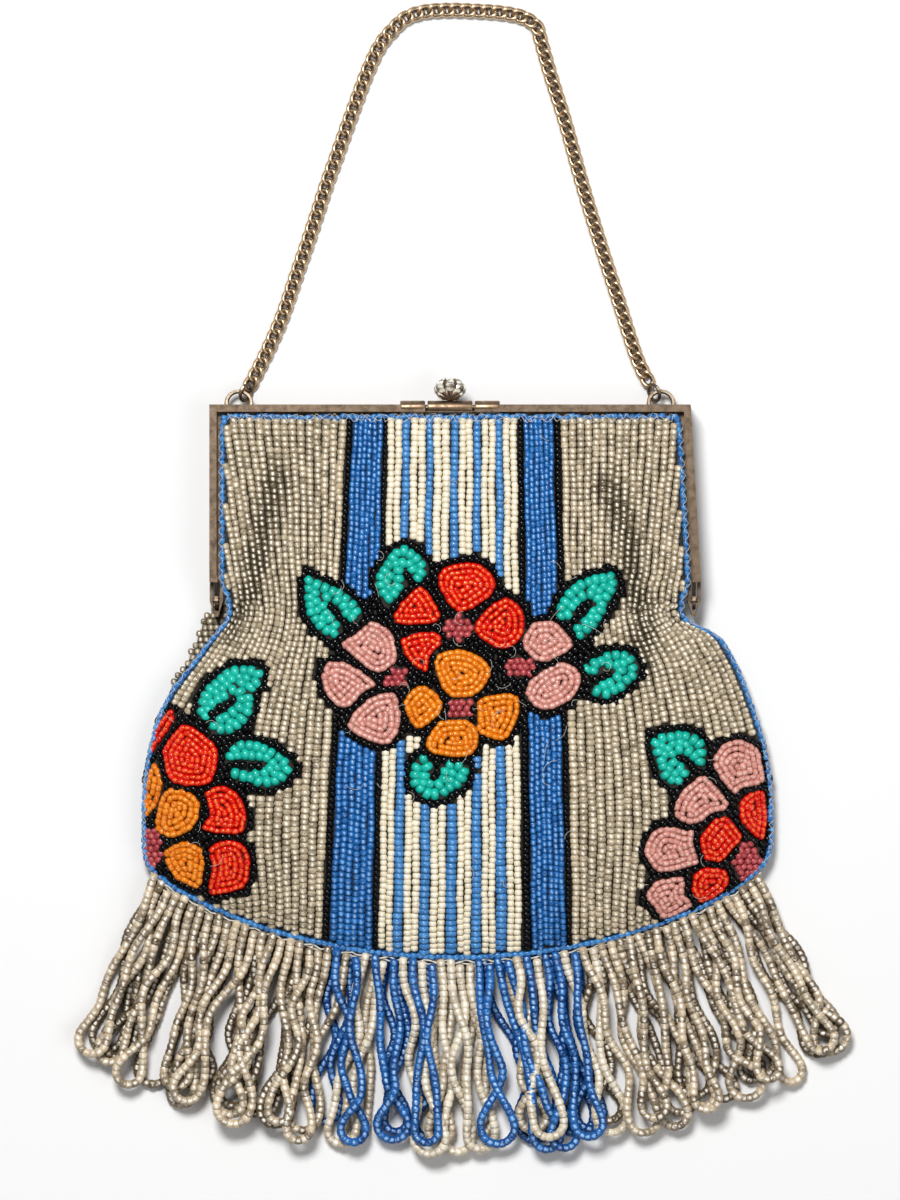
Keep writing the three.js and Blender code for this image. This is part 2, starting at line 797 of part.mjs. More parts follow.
[['left', -1], ['right', 1]].forEach(([name, side]) => {
  const ring = addPiece(`ring_${name}`, makeRing(), gilt);
  ring.position.set(side * ringCentreX, ringCentre.y, ringCentre.z);
  ring.rotation.x = -ringTilt;
  const link = addPiece(`end_link_${name}`, makeEndLink(), gilt);
  const heading = chainHeading(side);
  link.position.copy(endLinkCentre(side));
  link.rotation.set(-side * linkTwist, linkDip, Math.atan2(heading.y, heading.x), 'ZYX');
});

addPiece('chain', makeChain(), gilt);
addPiece('bag_front', makeBagFront(), beadedCloth);
addPiece('bag_back', makeBagBack(), beadedCloth);
addPiece('fringe', makeFringe(), beadFringe);

// The origin goes to the middle of the base
const box = new THREE.Box3().setFromObject(purse, true);
const middle = box.getCenter(new THREE.Vector3());
purse.position.set(-middle.x, -middle.y, -box.min.z);

export default purse;
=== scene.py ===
# %% [markdown]
# # A beaded purse, laid flat
#
# The purse is a flat bag of beaded cloth, hung from a hinged brass frame with a chain handle and
# a fringe of bead loops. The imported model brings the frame, pins and rings. This notebook dresses
# it: real beads sewn in rows on the cloth, real links in the chain, real strands in the fringe.

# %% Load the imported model
import math
import random

import bmesh
import bpy
import numpy as np
from mathutils import Matrix, Vector
from mathutils.bvhtree import BVHTree


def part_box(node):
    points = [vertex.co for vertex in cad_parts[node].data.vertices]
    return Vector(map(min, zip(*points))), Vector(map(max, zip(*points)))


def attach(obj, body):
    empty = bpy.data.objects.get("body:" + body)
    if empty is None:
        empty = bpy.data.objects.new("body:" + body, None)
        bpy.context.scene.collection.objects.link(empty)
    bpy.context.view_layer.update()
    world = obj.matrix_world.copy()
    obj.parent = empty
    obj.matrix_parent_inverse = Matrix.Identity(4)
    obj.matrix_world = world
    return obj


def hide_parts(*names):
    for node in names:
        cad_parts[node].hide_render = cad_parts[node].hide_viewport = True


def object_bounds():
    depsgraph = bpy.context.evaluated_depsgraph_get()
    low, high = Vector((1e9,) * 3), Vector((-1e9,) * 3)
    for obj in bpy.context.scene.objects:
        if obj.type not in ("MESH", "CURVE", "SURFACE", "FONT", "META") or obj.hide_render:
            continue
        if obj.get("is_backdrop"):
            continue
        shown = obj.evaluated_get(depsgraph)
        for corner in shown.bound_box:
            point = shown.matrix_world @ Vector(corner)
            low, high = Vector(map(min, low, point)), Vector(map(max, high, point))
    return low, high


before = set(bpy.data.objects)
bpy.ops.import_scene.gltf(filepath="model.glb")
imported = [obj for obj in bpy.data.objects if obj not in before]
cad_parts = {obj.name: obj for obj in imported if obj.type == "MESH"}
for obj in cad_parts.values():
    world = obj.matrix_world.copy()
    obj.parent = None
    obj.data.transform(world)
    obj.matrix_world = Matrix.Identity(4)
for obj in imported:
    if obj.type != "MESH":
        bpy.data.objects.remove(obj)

MM = 0.001
cad_low, cad_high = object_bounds()
luck = random.Random(1926)
print("box of the packed model in mm:", [round(v / MM, 1) for v in (*cad_low, *cad_high)])


def add_object(name, data):
    """Puts a mesh, a camera or a lamp into the scene"""
    thing = bpy.data.objects.new(name, data)
    bpy.context.scene.collection.objects.link(thing)
    return thing


def mesh_of(bm, name):
    """Turns a finished bmesh into a mesh"""
    mesh = bpy.data.meshes.new(name)
    bm.to_mesh(mesh)
    bm.free()
    return mesh


def rotate(bm, corners, angle, axis):
    bmesh.ops.rotate(bm, verts=corners, cent=(0, 0, 0), matrix=Matrix.Rotation(angle, 3, axis))


# %% [markdown]
# ## Camera, floor and light
#
# The purse was photographed from straight above. A wide lens would make the domed belly look
# bigger than the flat hem, so the camera stands two metres away with a long lens. Glass beads are
# told by their glints, and a glint is a picture of the lamp. One small bright softbox above the
# frame gives each bead a crisp one, a wide weak one opposite softens the shadows, and the room is
# dim, so black glass stays black.

# %% Camera
PICTURE_MIDDLE = (-2.06, -4.09)
PICTURE_HEIGHT = 300.0
PICTURE_LEVEL = 5.0
LENS = 250.0
SENSOR = 36.0

camera = add_object("camera", bpy.data.cameras.new("camera"))
camera.data.lens = LENS
camera.data.sensor_width = SENSOR
camera.data.clip_end = 20
camera_height = PICTURE_LEVEL + PICTURE_HEIGHT * LENS / SENSOR
camera.location = Vector((*PICTURE_MIDDLE, camera_height)) * MM
bpy.context.scene.camera = camera
print("camera at", round(camera_height), "mm above the floor")

# %% Floor and lamps
FLOOR_HALF = 2.5
PAPER_GREY = 0.88
PAPER_ROUGHNESS = 0.9
ROOM_LIGHT = 0.17


def make_floor():
    bm = bmesh.new()
    bmesh.ops.create_grid(bm, x_segments=1, y_segments=1, size=FLOOR_HALF)
    floor = add_object("floor", mesh_of(bm, "floor"))
    paper = bpy.data.materials.new("white_paper")
    paper.use_nodes = True
    shader = paper.node_tree.nodes["Principled BSDF"]
    shader.inputs["Base Color"].default_value = (PAPER_GREY, PAPER_GREY, PAPER_GREY, 1)
    shader.inputs["Roughness"].default_value = PAPER_ROUGHNESS
    floor.data.materials.append(paper)
    floor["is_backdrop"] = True


def softbox(name, place, size, power):
    lamp = add_object(name, bpy.data.lights.new(name, "AREA"))
    lamp.data.shape = "SQUARE"
    lamp.data.size = size
    lamp.data.energy = power
    lamp.location = place
    lamp.rotation_euler = (-Vector(place)).to_track_quat("-Z", "Y").to_euler()


make_floor()
softbox("key_lamp", place=(-0.24, 0.68, 1.35), size=0.42, power=23)
softbox("fill_lamp", place=(0.9, -0.5, 1.2), size=1.2, power=6)
room = bpy.data.worlds.new("room")
bpy.context.scene.world = room
room.use_nodes = True
room.node_tree.nodes["Background"].inputs["Color"].default_value = (1, 1, 1, 1)
room.node_tree.nodes["Background"].inputs["Strength"].default_value = ROOM_LIGHT
bpy.context.scene.view_settings.view_transform = "Standard"

# %% [markdown]
# ## One glass bead
#
# A seed bead is cut from a glass cane, so it is a short barrel with a hole along its axis, wider
# than it is long. There are thousands, so each has only a few dozen faces: a small sphere
# whose middle rings are pushed out gives the barrel, and smooth shading does the rest. A pale
# spot on the middle of each bead's top is partly the thread in the hole, seen through the glass,
# and partly a painted highlight, because it sits only on the top where the glint falls. The corners
# there carry that painted highlight, as a number called "painted_highlight".


# %% The bead
BEAD_SIDES = 6
BEAD_FULLNESS = 0.5
# where the painted highlight sits on a bead 1 across: high on its top, in a narrow strip along the thread
HIGHLIGHT_FROM = 0.2
HIGHLIGHT_HALF_WIDTH = 0.05
HIGHLIGHT_HALF_LENGTH = 0.3


def make_bead(rings):
    """A bead 1 across and 1 long, its hole along Z"""
    bm = bmesh.new()
    bmesh.ops.create_uvsphere(bm, u_segments=BEAD_SIDES, v_segments=rings, radius=0.5)
    for corner in bm.verts:
        across = math.hypot(corner.co.x, corner.co.y) / 0.5
        if across > 0.01:
            bmesh.ops.scale(bm, vec=(across ** (BEAD_FULLNESS - 1),) * 2 + (1,), verts=[corner])
    for face in bm.faces:
        face.smooth = True
    return mesh_of(bm, "bead")


round_bead = make_bead(rings=5)
plain_bead = make_bead(rings=4)
print("faces of a bead:", len(round_bead.polygons), "and on the hidden back:", len(plain_bead.polygons))

# %% [markdown]
# Beads are sewn on one by one, so a bead's place is worked out first: its middle, the way that the
# thread runs through it, and which way is up from the cloth. A whole colour is then made at
# once, by putting as many beads as there are places into one bmesh and moving their corners
# together. Each bead also keeps a number of its own, "tint", so no two have quite the same glass.

# %% Sewing beads on
bead_box = {}


def sew(colour, middle, along, up, length, width, height, tint):
    """Notes the place of one bead, in millimetres, in the box of its colour"""
    bead_box.setdefault(colour, []).append((middle, along, up, length, width, height, tint))


def frames_of(places):
    """Three arms for each bead: across, up and along its thread"""
    along = np.array([place[1] for place in places], float)
    up = np.array([place[2] for place in places], float)
    along /= np.linalg.norm(along, axis=1, keepdims=True)
    across = np.cross(up, along)
    across /= np.linalg.norm(across, axis=1, keepdims=True)
    up = np.cross(along, across)
    return across, up, along


def make_beads(name, bead, places, material, slot):
    """One piece that holds every bead of a colour"""
    bm = bmesh.new()
    for _ in places:
        bm.from_mesh(bead)
    mesh = mesh_of(bm, name)
    corners = np.array([v.co for v in bead.vertices])
    size = np.array([(p[4], p[5], p[3]) for p in places])
    arms = np.stack(frames_of(places), axis=1) * size[:, :, None]
    middles = np.array([tuple(p[0]) for p in places])
    spots = (np.einsum("ck,nkx->ncx", corners, arms) + middles[:, None]) * MM
    mesh.vertices.foreach_set("co", spots.astype(np.float32).ravel())
    side, top, end = corners.T
    # the corners that carry the painted highlight
    in_highlight = (top > HIGHLIGHT_FROM) & (np.abs(side) < HIGHLIGHT_HALF_WIDTH) & (np.abs(end) < HIGHLIGHT_HALF_LENGTH)
    numbers = {
        "tint": np.repeat([p[6] for p in places], len(corners)),
        "painted_highlight": np.tile(in_highlight, len(places)),
    }
    for label, values in numbers.items():
        mesh.attributes.new(label, "FLOAT", "POINT").data.foreach_set("value", values.astype(np.float32))
    mesh.materials.append(material)
    mesh.update()
    piece = add_object(name, mesh)
    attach(piece, "root")
    print(name, "has", len(places), "beads and", sum(len(f.vertices) - 2 for f in mesh.polygons), "triangles")
    return piece


# %% [markdown]
# ## Glass and metal
#
# All the glass shares one effect: each bead's tint moves it a little lighter or darker, fine
# streaks run through the glass, and a pale painted highlight is mixed in where the bead's top
# carries the "painted_highlight" number. A shader node group holds that once, with named inputs,
# and every colour places it with its own values. Gloss stays in each material, on the shader's own
# sockets.


# %% Node helpers and the glass group
def add_node(tree, kind, **values):
    node = tree.nodes.new(kind)
    for key, value in values.items():
        setattr(node, key, value)
    return node


def new_group(name, inputs, outputs):
    group = bpy.data.node_groups.new(name, "ShaderNodeTree")
    for label, kind, value in inputs:
        group.interface.new_socket(label, in_out="INPUT", socket_type=kind).default_value = value
    for label, kind in outputs:
        group.interface.new_socket(label, in_out="OUTPUT", socket_type=kind)
    return group, add_node(group, "NodeGroupInput"), add_node(group, "NodeGroupOutput")


def new_material(name):
    material = bpy.data.materials.new(name)
    material.use_nodes = True
    return material, material.node_tree, material.node_tree.nodes["Principled BSDF"]


def set_sockets(node, **values):
    for key, value in values.items():
        node.inputs[key.replace("_", " ")].default_value = value


def add_noise(tree, **values):
    """A noise in the piece's own space, so it looks the same from every side"""
    place = add_node(tree, "ShaderNodeTexCoord")
    noise = add_node(tree, "ShaderNodeTexNoise")
    set_sockets(noise, **values)
    tree.links.new(place.outputs["Object"], noise.inputs["Vector"])
    return noise


def colour_by(tree, factor, shader, stops):
    """Gives the shader a colour that runs between stops, each a place and a colour"""
    ramp = add_node(tree, "ShaderNodeValToRGB")
    for element, (stop, colour) in zip(ramp.color_ramp.elements, stops):
        element.position = stop
        element.color = (*colour, 1)
    tree.links.new(factor, ramp.inputs["Fac"])
    tree.links.new(ramp.outputs["Color"], shader.inputs["Base Color"])


COLOUR = "NodeSocketColor"
NUMBER = "NodeSocketFloat"


def make_glass_group():
    group, given, result = new_group(
        "bead_glass",
        [("Dark glass", COLOUR, (0.1, 0.1, 0.1, 1)), ("Pale glass", COLOUR, (0.8, 0.8, 0.8, 1)),
         ("Lining", COLOUR, (1, 1, 1, 1)), ("Lining shows", NUMBER, 0.5),
         ("Streaks", NUMBER, 0.4), ("Gloss", NUMBER, 0.15)],
        [("Color", COLOUR), ("Roughness", NUMBER)])
    link = group.links.new
    tint = add_node(group, "ShaderNodeAttribute", attribute_name="tint")
    line = add_node(group, "ShaderNodeAttribute", attribute_name="painted_highlight")
    streak = add_noise(group, Scale=900, Detail=2)
    centred = add_node(group, "ShaderNodeMath", operation="SUBTRACT")
    centred.inputs[1].default_value = 0.5
    link(streak.outputs["Fac"], centred.inputs[0])
    scaled = add_node(group, "ShaderNodeMath", operation="MULTIPLY_ADD", use_clamp=True)
    link(centred.outputs[0], scaled.inputs[0])
    link(given.outputs["Streaks"], scaled.inputs[1])
    link(tint.outputs["Fac"], scaled.inputs[2])
    body = add_node(group, "ShaderNodeMix", data_type="RGBA")
    link(scaled.outputs[0], body.inputs["Factor"])
    link(given.outputs["Dark glass"], body.inputs["A"])
    link(given.outputs["Pale glass"], body.inputs["B"])
    # the painted highlight: a pale colour mixed in on each bead's top, broken up by the streaks
    narrow = add_node(group, "ShaderNodeMapRange", interpolation_type="SMOOTHSTEP")
    set_sockets(narrow, From_Min=0.35, From_Max=0.95)
    link(line.outputs["Fac"], narrow.inputs["Value"])
    broken = add_node(group, "ShaderNodeMapRange")
    set_sockets(broken, From_Min=0.38, From_Max=0.55)
    link(streak.outputs["Fac"], broken.inputs["Value"])
    shown = add_node(group, "ShaderNodeMath", operation="MULTIPLY")
    link(narrow.outputs["Result"], shown.inputs[0])
    link(broken.outputs["Result"], shown.inputs[1])
    amount = add_node(group, "ShaderNodeMath", operation="MULTIPLY", use_clamp=True)
    link(shown.outputs[0], amount.inputs[0])
    link(given.outputs["Lining shows"], amount.inputs[1])
    mix = add_node(group, "ShaderNodeMix", data_type="RGBA")
    link(amount.outputs[0], mix.inputs["Factor"])
    link(body.outputs["Result"], mix.inputs["A"])
    link(given.outputs["Lining"], mix.inputs["B"])
    link(mix.outputs["Result"], result.inputs["Color"])
    rough = add_node(group, "ShaderNodeMath", operation="MULTIPLY_ADD", use_clamp=True)
    rough.inputs[1].default_value = 0.15
    link(streak.outputs["Fac"], rough.inputs[0])
    link(given.outputs["Gloss"], rough.inputs[2])
    link(rough.outputs[0], result.inputs["Roughness"])
    return group


glass_group = make_glass_group()


def make_glass(name, dark, pale, painted_highlight, highlight_shows, gloss, bending):
    material, tree, shader = new_material(name)
    group = add_node(tree, "ShaderNodeGroup", node_tree=glass_group)
    set_sockets(group, Dark_glass=(*dark, 1), Pale_glass=(*pale, 1), Lining=(*painted_highlight, 1),
                Lining_shows=highlight_shows, Streaks=0.6, Gloss=gloss)
    tree.links.new(group.outputs["Color"], shader.inputs["Base Color"])
    tree.links.new(group.outputs["Roughness"], shader.inputs["Roughness"])
    set_sockets(shader, IOR=bending)
    return material


# %% [markdown]
# The colours were read: grey-beige beads with a cream gleam, pearly cream, cobalt bands and
# lighter blue lines, shiny black outlines, opaque turquoise leaves, and petals of red, orange and
# dusty pink. "dark" and "pale" are the two ends of what the tints of one colour may reach.

# %% The colours of the beads
GLASS = [
    # colour, dark glass, pale glass, painted highlight, how much it shows, roughness, slot
    ("silver", (0.12, 0.09, 0.05), (0.60, 0.49, 0.335), (1.0, 0.94, 0.80), 0.95, 0.07, "silver_beads"),
    ("cream", (0.66, 0.56, 0.38), (0.95, 0.86, 0.66), (1.0, 0.98, 0.90), 0.8, 0.10, "cream_beads"),
    ("cobalt", (0.003, 0.04, 0.18), (0.02, 0.18, 0.52), (0.42, 0.64, 0.98), 0.6, 0.06, "blue_beads"),
    ("sky", (0.02, 0.12, 0.36), (0.06, 0.27, 0.62), (0.40, 0.66, 0.98), 0.4, 0.08, "blue_beads"),
    ("black", (0.0003, 0.0003, 0.0005), (0.002, 0.002, 0.003), (0.01, 0.01, 0.01), 0.2, 0.02,
     "black_beads"),
    ("turquoise", (0.003, 0.33, 0.25), (0.01, 0.58, 0.45), (0.06, 0.72, 0.60), 0.3, 0.16, "turquoise_beads"),
    ("red", (0.52, 0.002, 0.0005), (0.86, 0.010, 0.001), (1.0, 0.26, 0.03), 0.65, 0.08, "petal_beads"),
    ("orange", (0.62, 0.12, 0.001), (0.90, 0.245, 0.003), (1.0, 0.60, 0.10), 0.5, 0.08, "petal_beads"),
    ("pink", (0.46, 0.16, 0.13), (0.78, 0.36, 0.29), (0.98, 0.76, 0.70), 0.5, 0.10, "petal_beads"),
    ("rose", (0.28, 0.025, 0.035), (0.54, 0.085, 0.09), (0.8, 0.3, 0.3), 0.2, 0.16, "petal_beads"),
    ("fringe_silver", (0.11, 0.075, 0.04), (0.72, 0.58, 0.40), (1.0, 0.96, 0.88), 0.95, 0.05, "fringe_beads"),
    ("fringe_cream", (0.46, 0.37, 0.25), (0.86, 0.77, 0.61), (1.0, 0.97, 0.90), 0.9, 0.07, "fringe_beads"),
    ("fringe_cobalt", (0.005, 0.045, 0.19), (0.02, 0.15, 0.46), (0.35, 0.60, 0.98), 0.8, 0.05,
     "fringe_beads"),
]
# how strongly glass bends light: less for black, so that the room's light doesn't make it grey
BENDING = {"black": 1.3}
USUAL_BENDING = 1.46
glass = {}
slots = {}
for colour, dark, pale, painted_highlight, shows, gloss, slot in GLASS:
    bending = BENDING.get(colour, USUAL_BENDING)
    glass[colour] = make_glass(colour + "_glass", dark, pale, painted_highlight, shows, gloss, bending)
    slots[colour] = slot
print("glass colours:", ", ".join(glass))

# %% [markdown]
# ## The two cloths
#
# Under the beads is a woven cotton cloth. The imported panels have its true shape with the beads'
# height included, so a copy of each is rounded by Subdivision Surface, kept aside as the bed that
# the beads' tops follow, and then drawn in by most of a bead's height to be the cloth.

# %% The cloth and the bed for its beads
CLOTH_DEPTH = 0.95


def merged_copy(node, name):
    bm = bmesh.new()
    bm.from_mesh(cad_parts[node].data)
    bmesh.ops.remove_doubles(bm, verts=bm.verts, dist=0.01 * MM)
    mesh = mesh_of(bm, name)
    piece = add_object(name, mesh)
    return piece


def apply_modifiers(piece):
    graph = bpy.context.evaluated_depsgraph_get()
    piece.data = bpy.data.meshes.new_from_object(piece.evaluated_get(graph))
    piece.modifiers.clear()


def make_cloth(node, name):
    """Returns the cloth piece and the surface that the tops of its beads follow"""
    piece = merged_copy(node, name)
    rounding = piece.modifiers.new("rounding", "SUBSURF")
    rounding.levels = rounding.render_levels = 1
    apply_modifiers(piece)
    bm = bmesh.new()
    bm.from_mesh(piece.data)
    bed = BVHTree.FromBMesh(bm)
    bm.normal_update()
    for corner, inward in [(v, v.normal.copy()) for v in bm.verts]:
        corner.co -= inward * CLOTH_DEPTH * MM
    for face in bm.faces:
        face.smooth = True
    bm.to_mesh(piece.data)
    bm.free()
    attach(piece, "root")
    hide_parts(node)
    print(name, "has", len(piece.data.polygons), "faces")
    return piece, bed


cloth_front, front_bed = make_cloth("bag_front", "cloth_front")
cloth_back, back_bed = make_cloth("bag_back", "cloth_back")


def make_cloth_material():
    material, tree, shader = new_material("cotton_ground")
    place = add_node(tree, "ShaderNodeTexCoord")
    weave = add_node(tree, "ShaderNodeTexWave", bands_direction="X")
    set_sockets(weave, Scale=900, Distortion=2.0)
    tree.links.new(place.outputs["Object"], weave.inputs["Vector"])
    stops = [(0, (0.008, 0.006, 0.004)), (1, (0.035, 0.026, 0.018))]
    colour_by(tree, weave.outputs["Fac"], shader, stops)
    bump = add_node(tree, "ShaderNodeBump")
    set_sockets(bump, Strength=0.4, Distance=0.0002)
    tree.links.new(weave.outputs["Fac"], bump.inputs["Height"])
    tree.links.new(bump.outputs["Normal"], shader.inputs["Normal"])
    set_sockets(shader, Roughness=0.9, Sheen_Weight=0.2)
    return material


cotton = make_cloth_material()
for cloth in (cloth_front, cloth_back):
    cloth.data.materials.clear()
    cloth.data.materials.append(cotton)

# %% [markdown]
# The beads need to know where the cloth is. Rays cast straight down do that: one finds how high
# the cloth is and which way it faces, and a dozen in turn close in on the place where a side or
# the hem ends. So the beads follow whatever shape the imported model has.

# %% Feeling the cloth with rays
SKY = 100.0


def feel(bed, start, heading):
    """Where a ray meets the bed, in millimetres, and which way the bed faces there"""
    spot, normal, _, _ = bed.ray_cast(Vector(start) * MM, Vector(heading))
    return (spot / MM, normal) if spot else (None, None)


def reaches(bed, x, y):
    return feel(bed, (x, y, SKY), (0, 0, -1))[0] is not None


def closing_in(inside, outside, is_cloth):
    """Where the cloth ends between a place on it and a place off it"""
    for _ in range(12):
        middle = (inside + outside) / 2
        if is_cloth(middle):
            inside = middle
        else:
            outside = middle
    return inside


def side_edge(y, side, bed=front_bed):
    return closing_in(0.0, side * SKY, lambda x: reaches(bed, x, y))


def hem_edge(x, bed=front_bed):
    return closing_in(-60.0, -120.0, lambda y: reaches(bed, x, y))


def on_front(x, y):
    """A place on top of the front, and which way it faces there"""
    spot, normal = feel(front_bed, (x, y, SKY), (0, 0, -1))
    if spot and normal.z > 0.15:
        return spot, normal
    return None, None


edge_at_hinges, edge_at_belly = (round(side_edge(y, -1), 1) for y in (-4.5, -55))
print("left edge at the hinges:", edge_at_hinges, "and at the belly:", edge_at_belly)
print("lowest point of the hem:", round(min(hem_edge(x) for x in range(-60, 61, 5)), 1))

# %% [markdown]
# ## The flowers
#
# The front carries three sprays of flowers: one in the middle and one cut off by each side edge.
# Every petal and leaf is filled from its edge inwards with rows of beads, as a beader does, and
# outlined with a row of black beads. Their corners were read from the photograph, as
# pixels of its 900 x 1200, and are turned into millimetres from the middle of the purse, to the
# nearest half. A curve through the corners gives the outline.
# A leaf's outline runs in and out again around its dark middle vein.

# %% The petals and leaves
PETALS_READ = [
    # colour, corners (pixel across, pixel down)
    ("red", [(422, 587), (440, 615), (426, 624), (394, 622), (404, 599)]),
    ("red", [(438, 584), (445, 567), (463, 563), (478, 563), (494, 578), (492, 593), (476, 605),
             (462, 611), (451, 606)]),
    ("red", [(477, 621), (494, 603), (509, 597), (522, 612), (522, 633), (512, 645), (498, 648),
             (478, 636)]),
    ("red", [(402, 640), (415, 633), (434, 631), (442, 641), (431, 655), (426, 672), (415, 666),
             (404, 652)]),
    ("pink", [(372, 622), (393, 633), (397, 659), (378, 671), (360, 662), (343, 644), (356, 633)]),
    ("pink", [(324, 668), (332, 662), (353, 666), (376, 683), (365, 692), (347, 707), (330, 697),
              (323, 682)]),
    ("pink", [(381, 693), (396, 696), (401, 725), (386, 744), (360, 735), (349, 724), (363, 703)]),
    ("orange", [(435, 662), (443, 652), (465, 649), (484, 659), (491, 674), (476, 693), (451, 696),
                (438, 677)]),
    ("orange", [(404, 699), (419, 685), (434, 691), (443, 707), (422, 727), (412, 724), (404, 706)]),
    ("orange", [(426, 743), (437, 724), (451, 719), (466, 719), (476, 727), (479, 743), (466, 756),
                (437, 754)]),
    ("orange", [(478, 719), (479, 700), (498, 694), (517, 696), (519, 713), (509, 735), (498, 740),
                (479, 732)]),
    ("pink", [(523, 642), (532, 624), (553, 621), (567, 633), (572, 646), (556, 658), (541, 661),
              (526, 652)]),
    ("pink", [(526, 687), (541, 672), (563, 662), (579, 672), (579, 687), (567, 702), (545, 710),
              (531, 702)]),
    ("red", [(168, 709), (175, 717), (160, 740), (148, 755), (147, 748), (155, 727)]),
    ("red", [(164, 745), (185, 723), (215, 744), (219, 759), (212, 779), (198, 785), (171, 780),
             (162, 754)]),
    ("red", [(207, 792), (223, 786), (239, 794), (247, 811), (244, 830), (234, 834), (202, 830),
             (210, 814)]),
    ("red", [(210, 847), (231, 840), (246, 847), (250, 866), (246, 883), (234, 892), (208, 893),
             (212, 869)]),
    ("orange", [(155, 763), (162, 780), (157, 804), (144, 816), (142, 791), (148, 770)]),
    ("orange", [(155, 821), (165, 792), (184, 790), (199, 799), (198, 818), (190, 830), (172, 837),
                (160, 834)]),
    ("orange", [(164, 851), (184, 842), (202, 849), (204, 867), (198, 887), (184, 883), (172, 875)]),
    ("pink", [(715, 755), (724, 744), (741, 740), (758, 747), (763, 759), (764, 782), (743, 787),
              (735, 793), (727, 786), (715, 767)]),
    ("pink", [(675, 806), (685, 787), (703, 775), (712, 783), (728, 801), (724, 809), (711, 813),
              (695, 823), (676, 817)]),
    ("pink", [(645, 849), (652, 831), (669, 825), (683, 829), (693, 831), (692, 844), (698, 860),
              (692, 866), (660, 872), (648, 860)]),
    ("pink", [(647, 894), (656, 881), (670, 877), (684, 878), (685, 894), (693, 906), (679, 916),
              (664, 920), (652, 906)]),
    ("red", [(740, 801), (752, 792), (764, 792), (768, 811), (766, 835), (760, 839), (749, 830),
             (740, 817)]),
    ("red", [(703, 833), (716, 818), (729, 818), (742, 837), (732, 849), (721, 861), (705, 857),
             (701, 844)]),
    ("red", [(694, 876), (705, 868), (724, 870), (728, 885), (717, 898), (701, 904), (693, 889)]),
    ("turquoise", [(306, 577), (324, 581), (351, 596), (362, 613), (357, 623), (346, 617),
                   (333, 602), (329, 606), (341, 623), (344, 630), (337, 637), (328, 638),
                   (316, 628), (307, 610)]),
    ("turquoise", [(405, 545), (416, 551), (428, 566), (424, 578), (416, 581), (409, 571),
                   (405, 569), (404, 585), (399, 598), (391, 603), (386, 608), (378, 594),
                   (377, 576), (386, 559), (395, 550)]),
    ("turquoise", [(613, 572), (619, 585), (609, 603), (600, 622), (581, 640), (570, 634),
                   (574, 625), (588, 611), (592, 599), (581, 604), (570, 617), (559, 620),
                   (557, 610), (563, 596), (576, 581), (600, 574)]),
    ("turquoise", [(582, 668), (590, 660), (609, 652), (629, 652), (637, 662), (638, 672),
                   (631, 684), (617, 694), (607, 698), (594, 696), (589, 687), (598, 681),
                   (612, 675), (617, 669), (611, 667), (601, 672), (588, 676)]),
    ("turquoise", [(422, 754), (428, 755), (432, 763), (434, 770), (431, 778), (436, 780),
                   (440, 773), (443, 763), (449, 759), (457, 759), (468, 764), (469, 775),
                   (463, 786), (451, 792), (443, 797), (426, 798), (412, 786), (410, 775),
                   (413, 763)]),
    ("turquoise", [(196, 714), (206, 720), (213, 713), (217, 704), (228, 699), (234, 694),
                   (236, 701), (226, 709), (212, 718), (210, 729), (223, 734), (239, 729),
                   (253, 713), (255, 704), (255, 689), (262, 681), (261, 667), (234, 666),
                   (225, 669), (215, 677), (205, 687), (198, 701)]),
    ("turquoise", [(226, 763), (229, 749), (243, 740), (265, 744), (283, 753), (294, 764),
                   (288, 775), (281, 784), (262, 788), (251, 782), (238, 780), (231, 773),
                   (235, 768), (253, 769), (265, 767), (264, 762), (240, 760), (233, 762)]),
    ("turquoise", [(650, 740), (664, 731), (688, 731), (700, 738), (707, 750), (705, 763),
                   (700, 769), (688, 758), (681, 753), (676, 756), (678, 762), (688, 764),
                   (687, 779), (675, 787), (660, 775), (657, 762), (652, 751)]),
]
MM_PER_PIXEL = 0.25
PHOTO_MIDDLE = (450, 600)
READING_STEP = 0.5


def on_purse(pixel):
    """A place in the photograph, in millimetres on the purse, as finely as it could be read"""
    across = PICTURE_MIDDLE[0] + (pixel[0] - PHOTO_MIDDLE[0]) * MM_PER_PIXEL
    up = PICTURE_MIDDLE[1] + (PHOTO_MIDDLE[1] - pixel[1]) * MM_PER_PIXEL
    return tuple(round(value / READING_STEP) * READING_STEP for value in (across, up))


PETALS = [(colour, [on_purse(pixel) for pixel in corners]) for colour, corners in PETALS_READ]
HEARTS = [
    # a flower's round middle of larger beads: x, y, how wide and how high
    (0.0, -11.1, 7.2, 6.0),
    (-15.6, -23.3, 6.2, 5.2),
    (0.4, -31.0, 6.2, 5.6),
    (15.4, -20.8, 6.8, 5.6),
    (-77.0, -66.2, 5.4, 9.4),
    (72.4, -69.6, 7.8, 9.8),
]
ROWS = {
    # how far apart rows of beads lie and beads along a row
    "turquoise": (2.6, 1.85),
    "red": (1.45, 1.4),
    "orange": (1.45, 1.4),
    "pink": (1.45, 1.4),
}
PLUMPNESS = {
    # how much wider and longer a bead is than its share of the row, so that no cloth shows
    "turquoise": (1.22, 1.2),
    "red": (1.2, 1.5),
    "orange": (1.2, 1.5),
    "pink": (1.2, 1.5),
    "black": (1.15, 1.2),
}
BLACK_WIDTH = 1.9
BLACK_PITCH = 1.7


# %% Outlines and distances
def between(a, b, c, d, share):
    """A place on the smooth curve from b to c, where a comes before and d after them"""
    return 0.5 * (2 * b + (c - a) * share + (2 * a - 5 * b + 4 * c - d) * share**2
                  + (3 * b - a - 3 * c + d) * share**3)


def curve_through(corners, steps=6):
    """A closed smooth curve through the corners"""
    points = np.array(corners, float)
    before, after, beyond = (np.roll(points, shift, axis=0) for shift in (1, -1, -2))
    share = (np.arange(steps) / steps)[None, :, None]
    a, b, c, d = (p[:, None] for p in (before, points, after, beyond))
    return between(a, b, c, d, share).reshape(-1, 2)


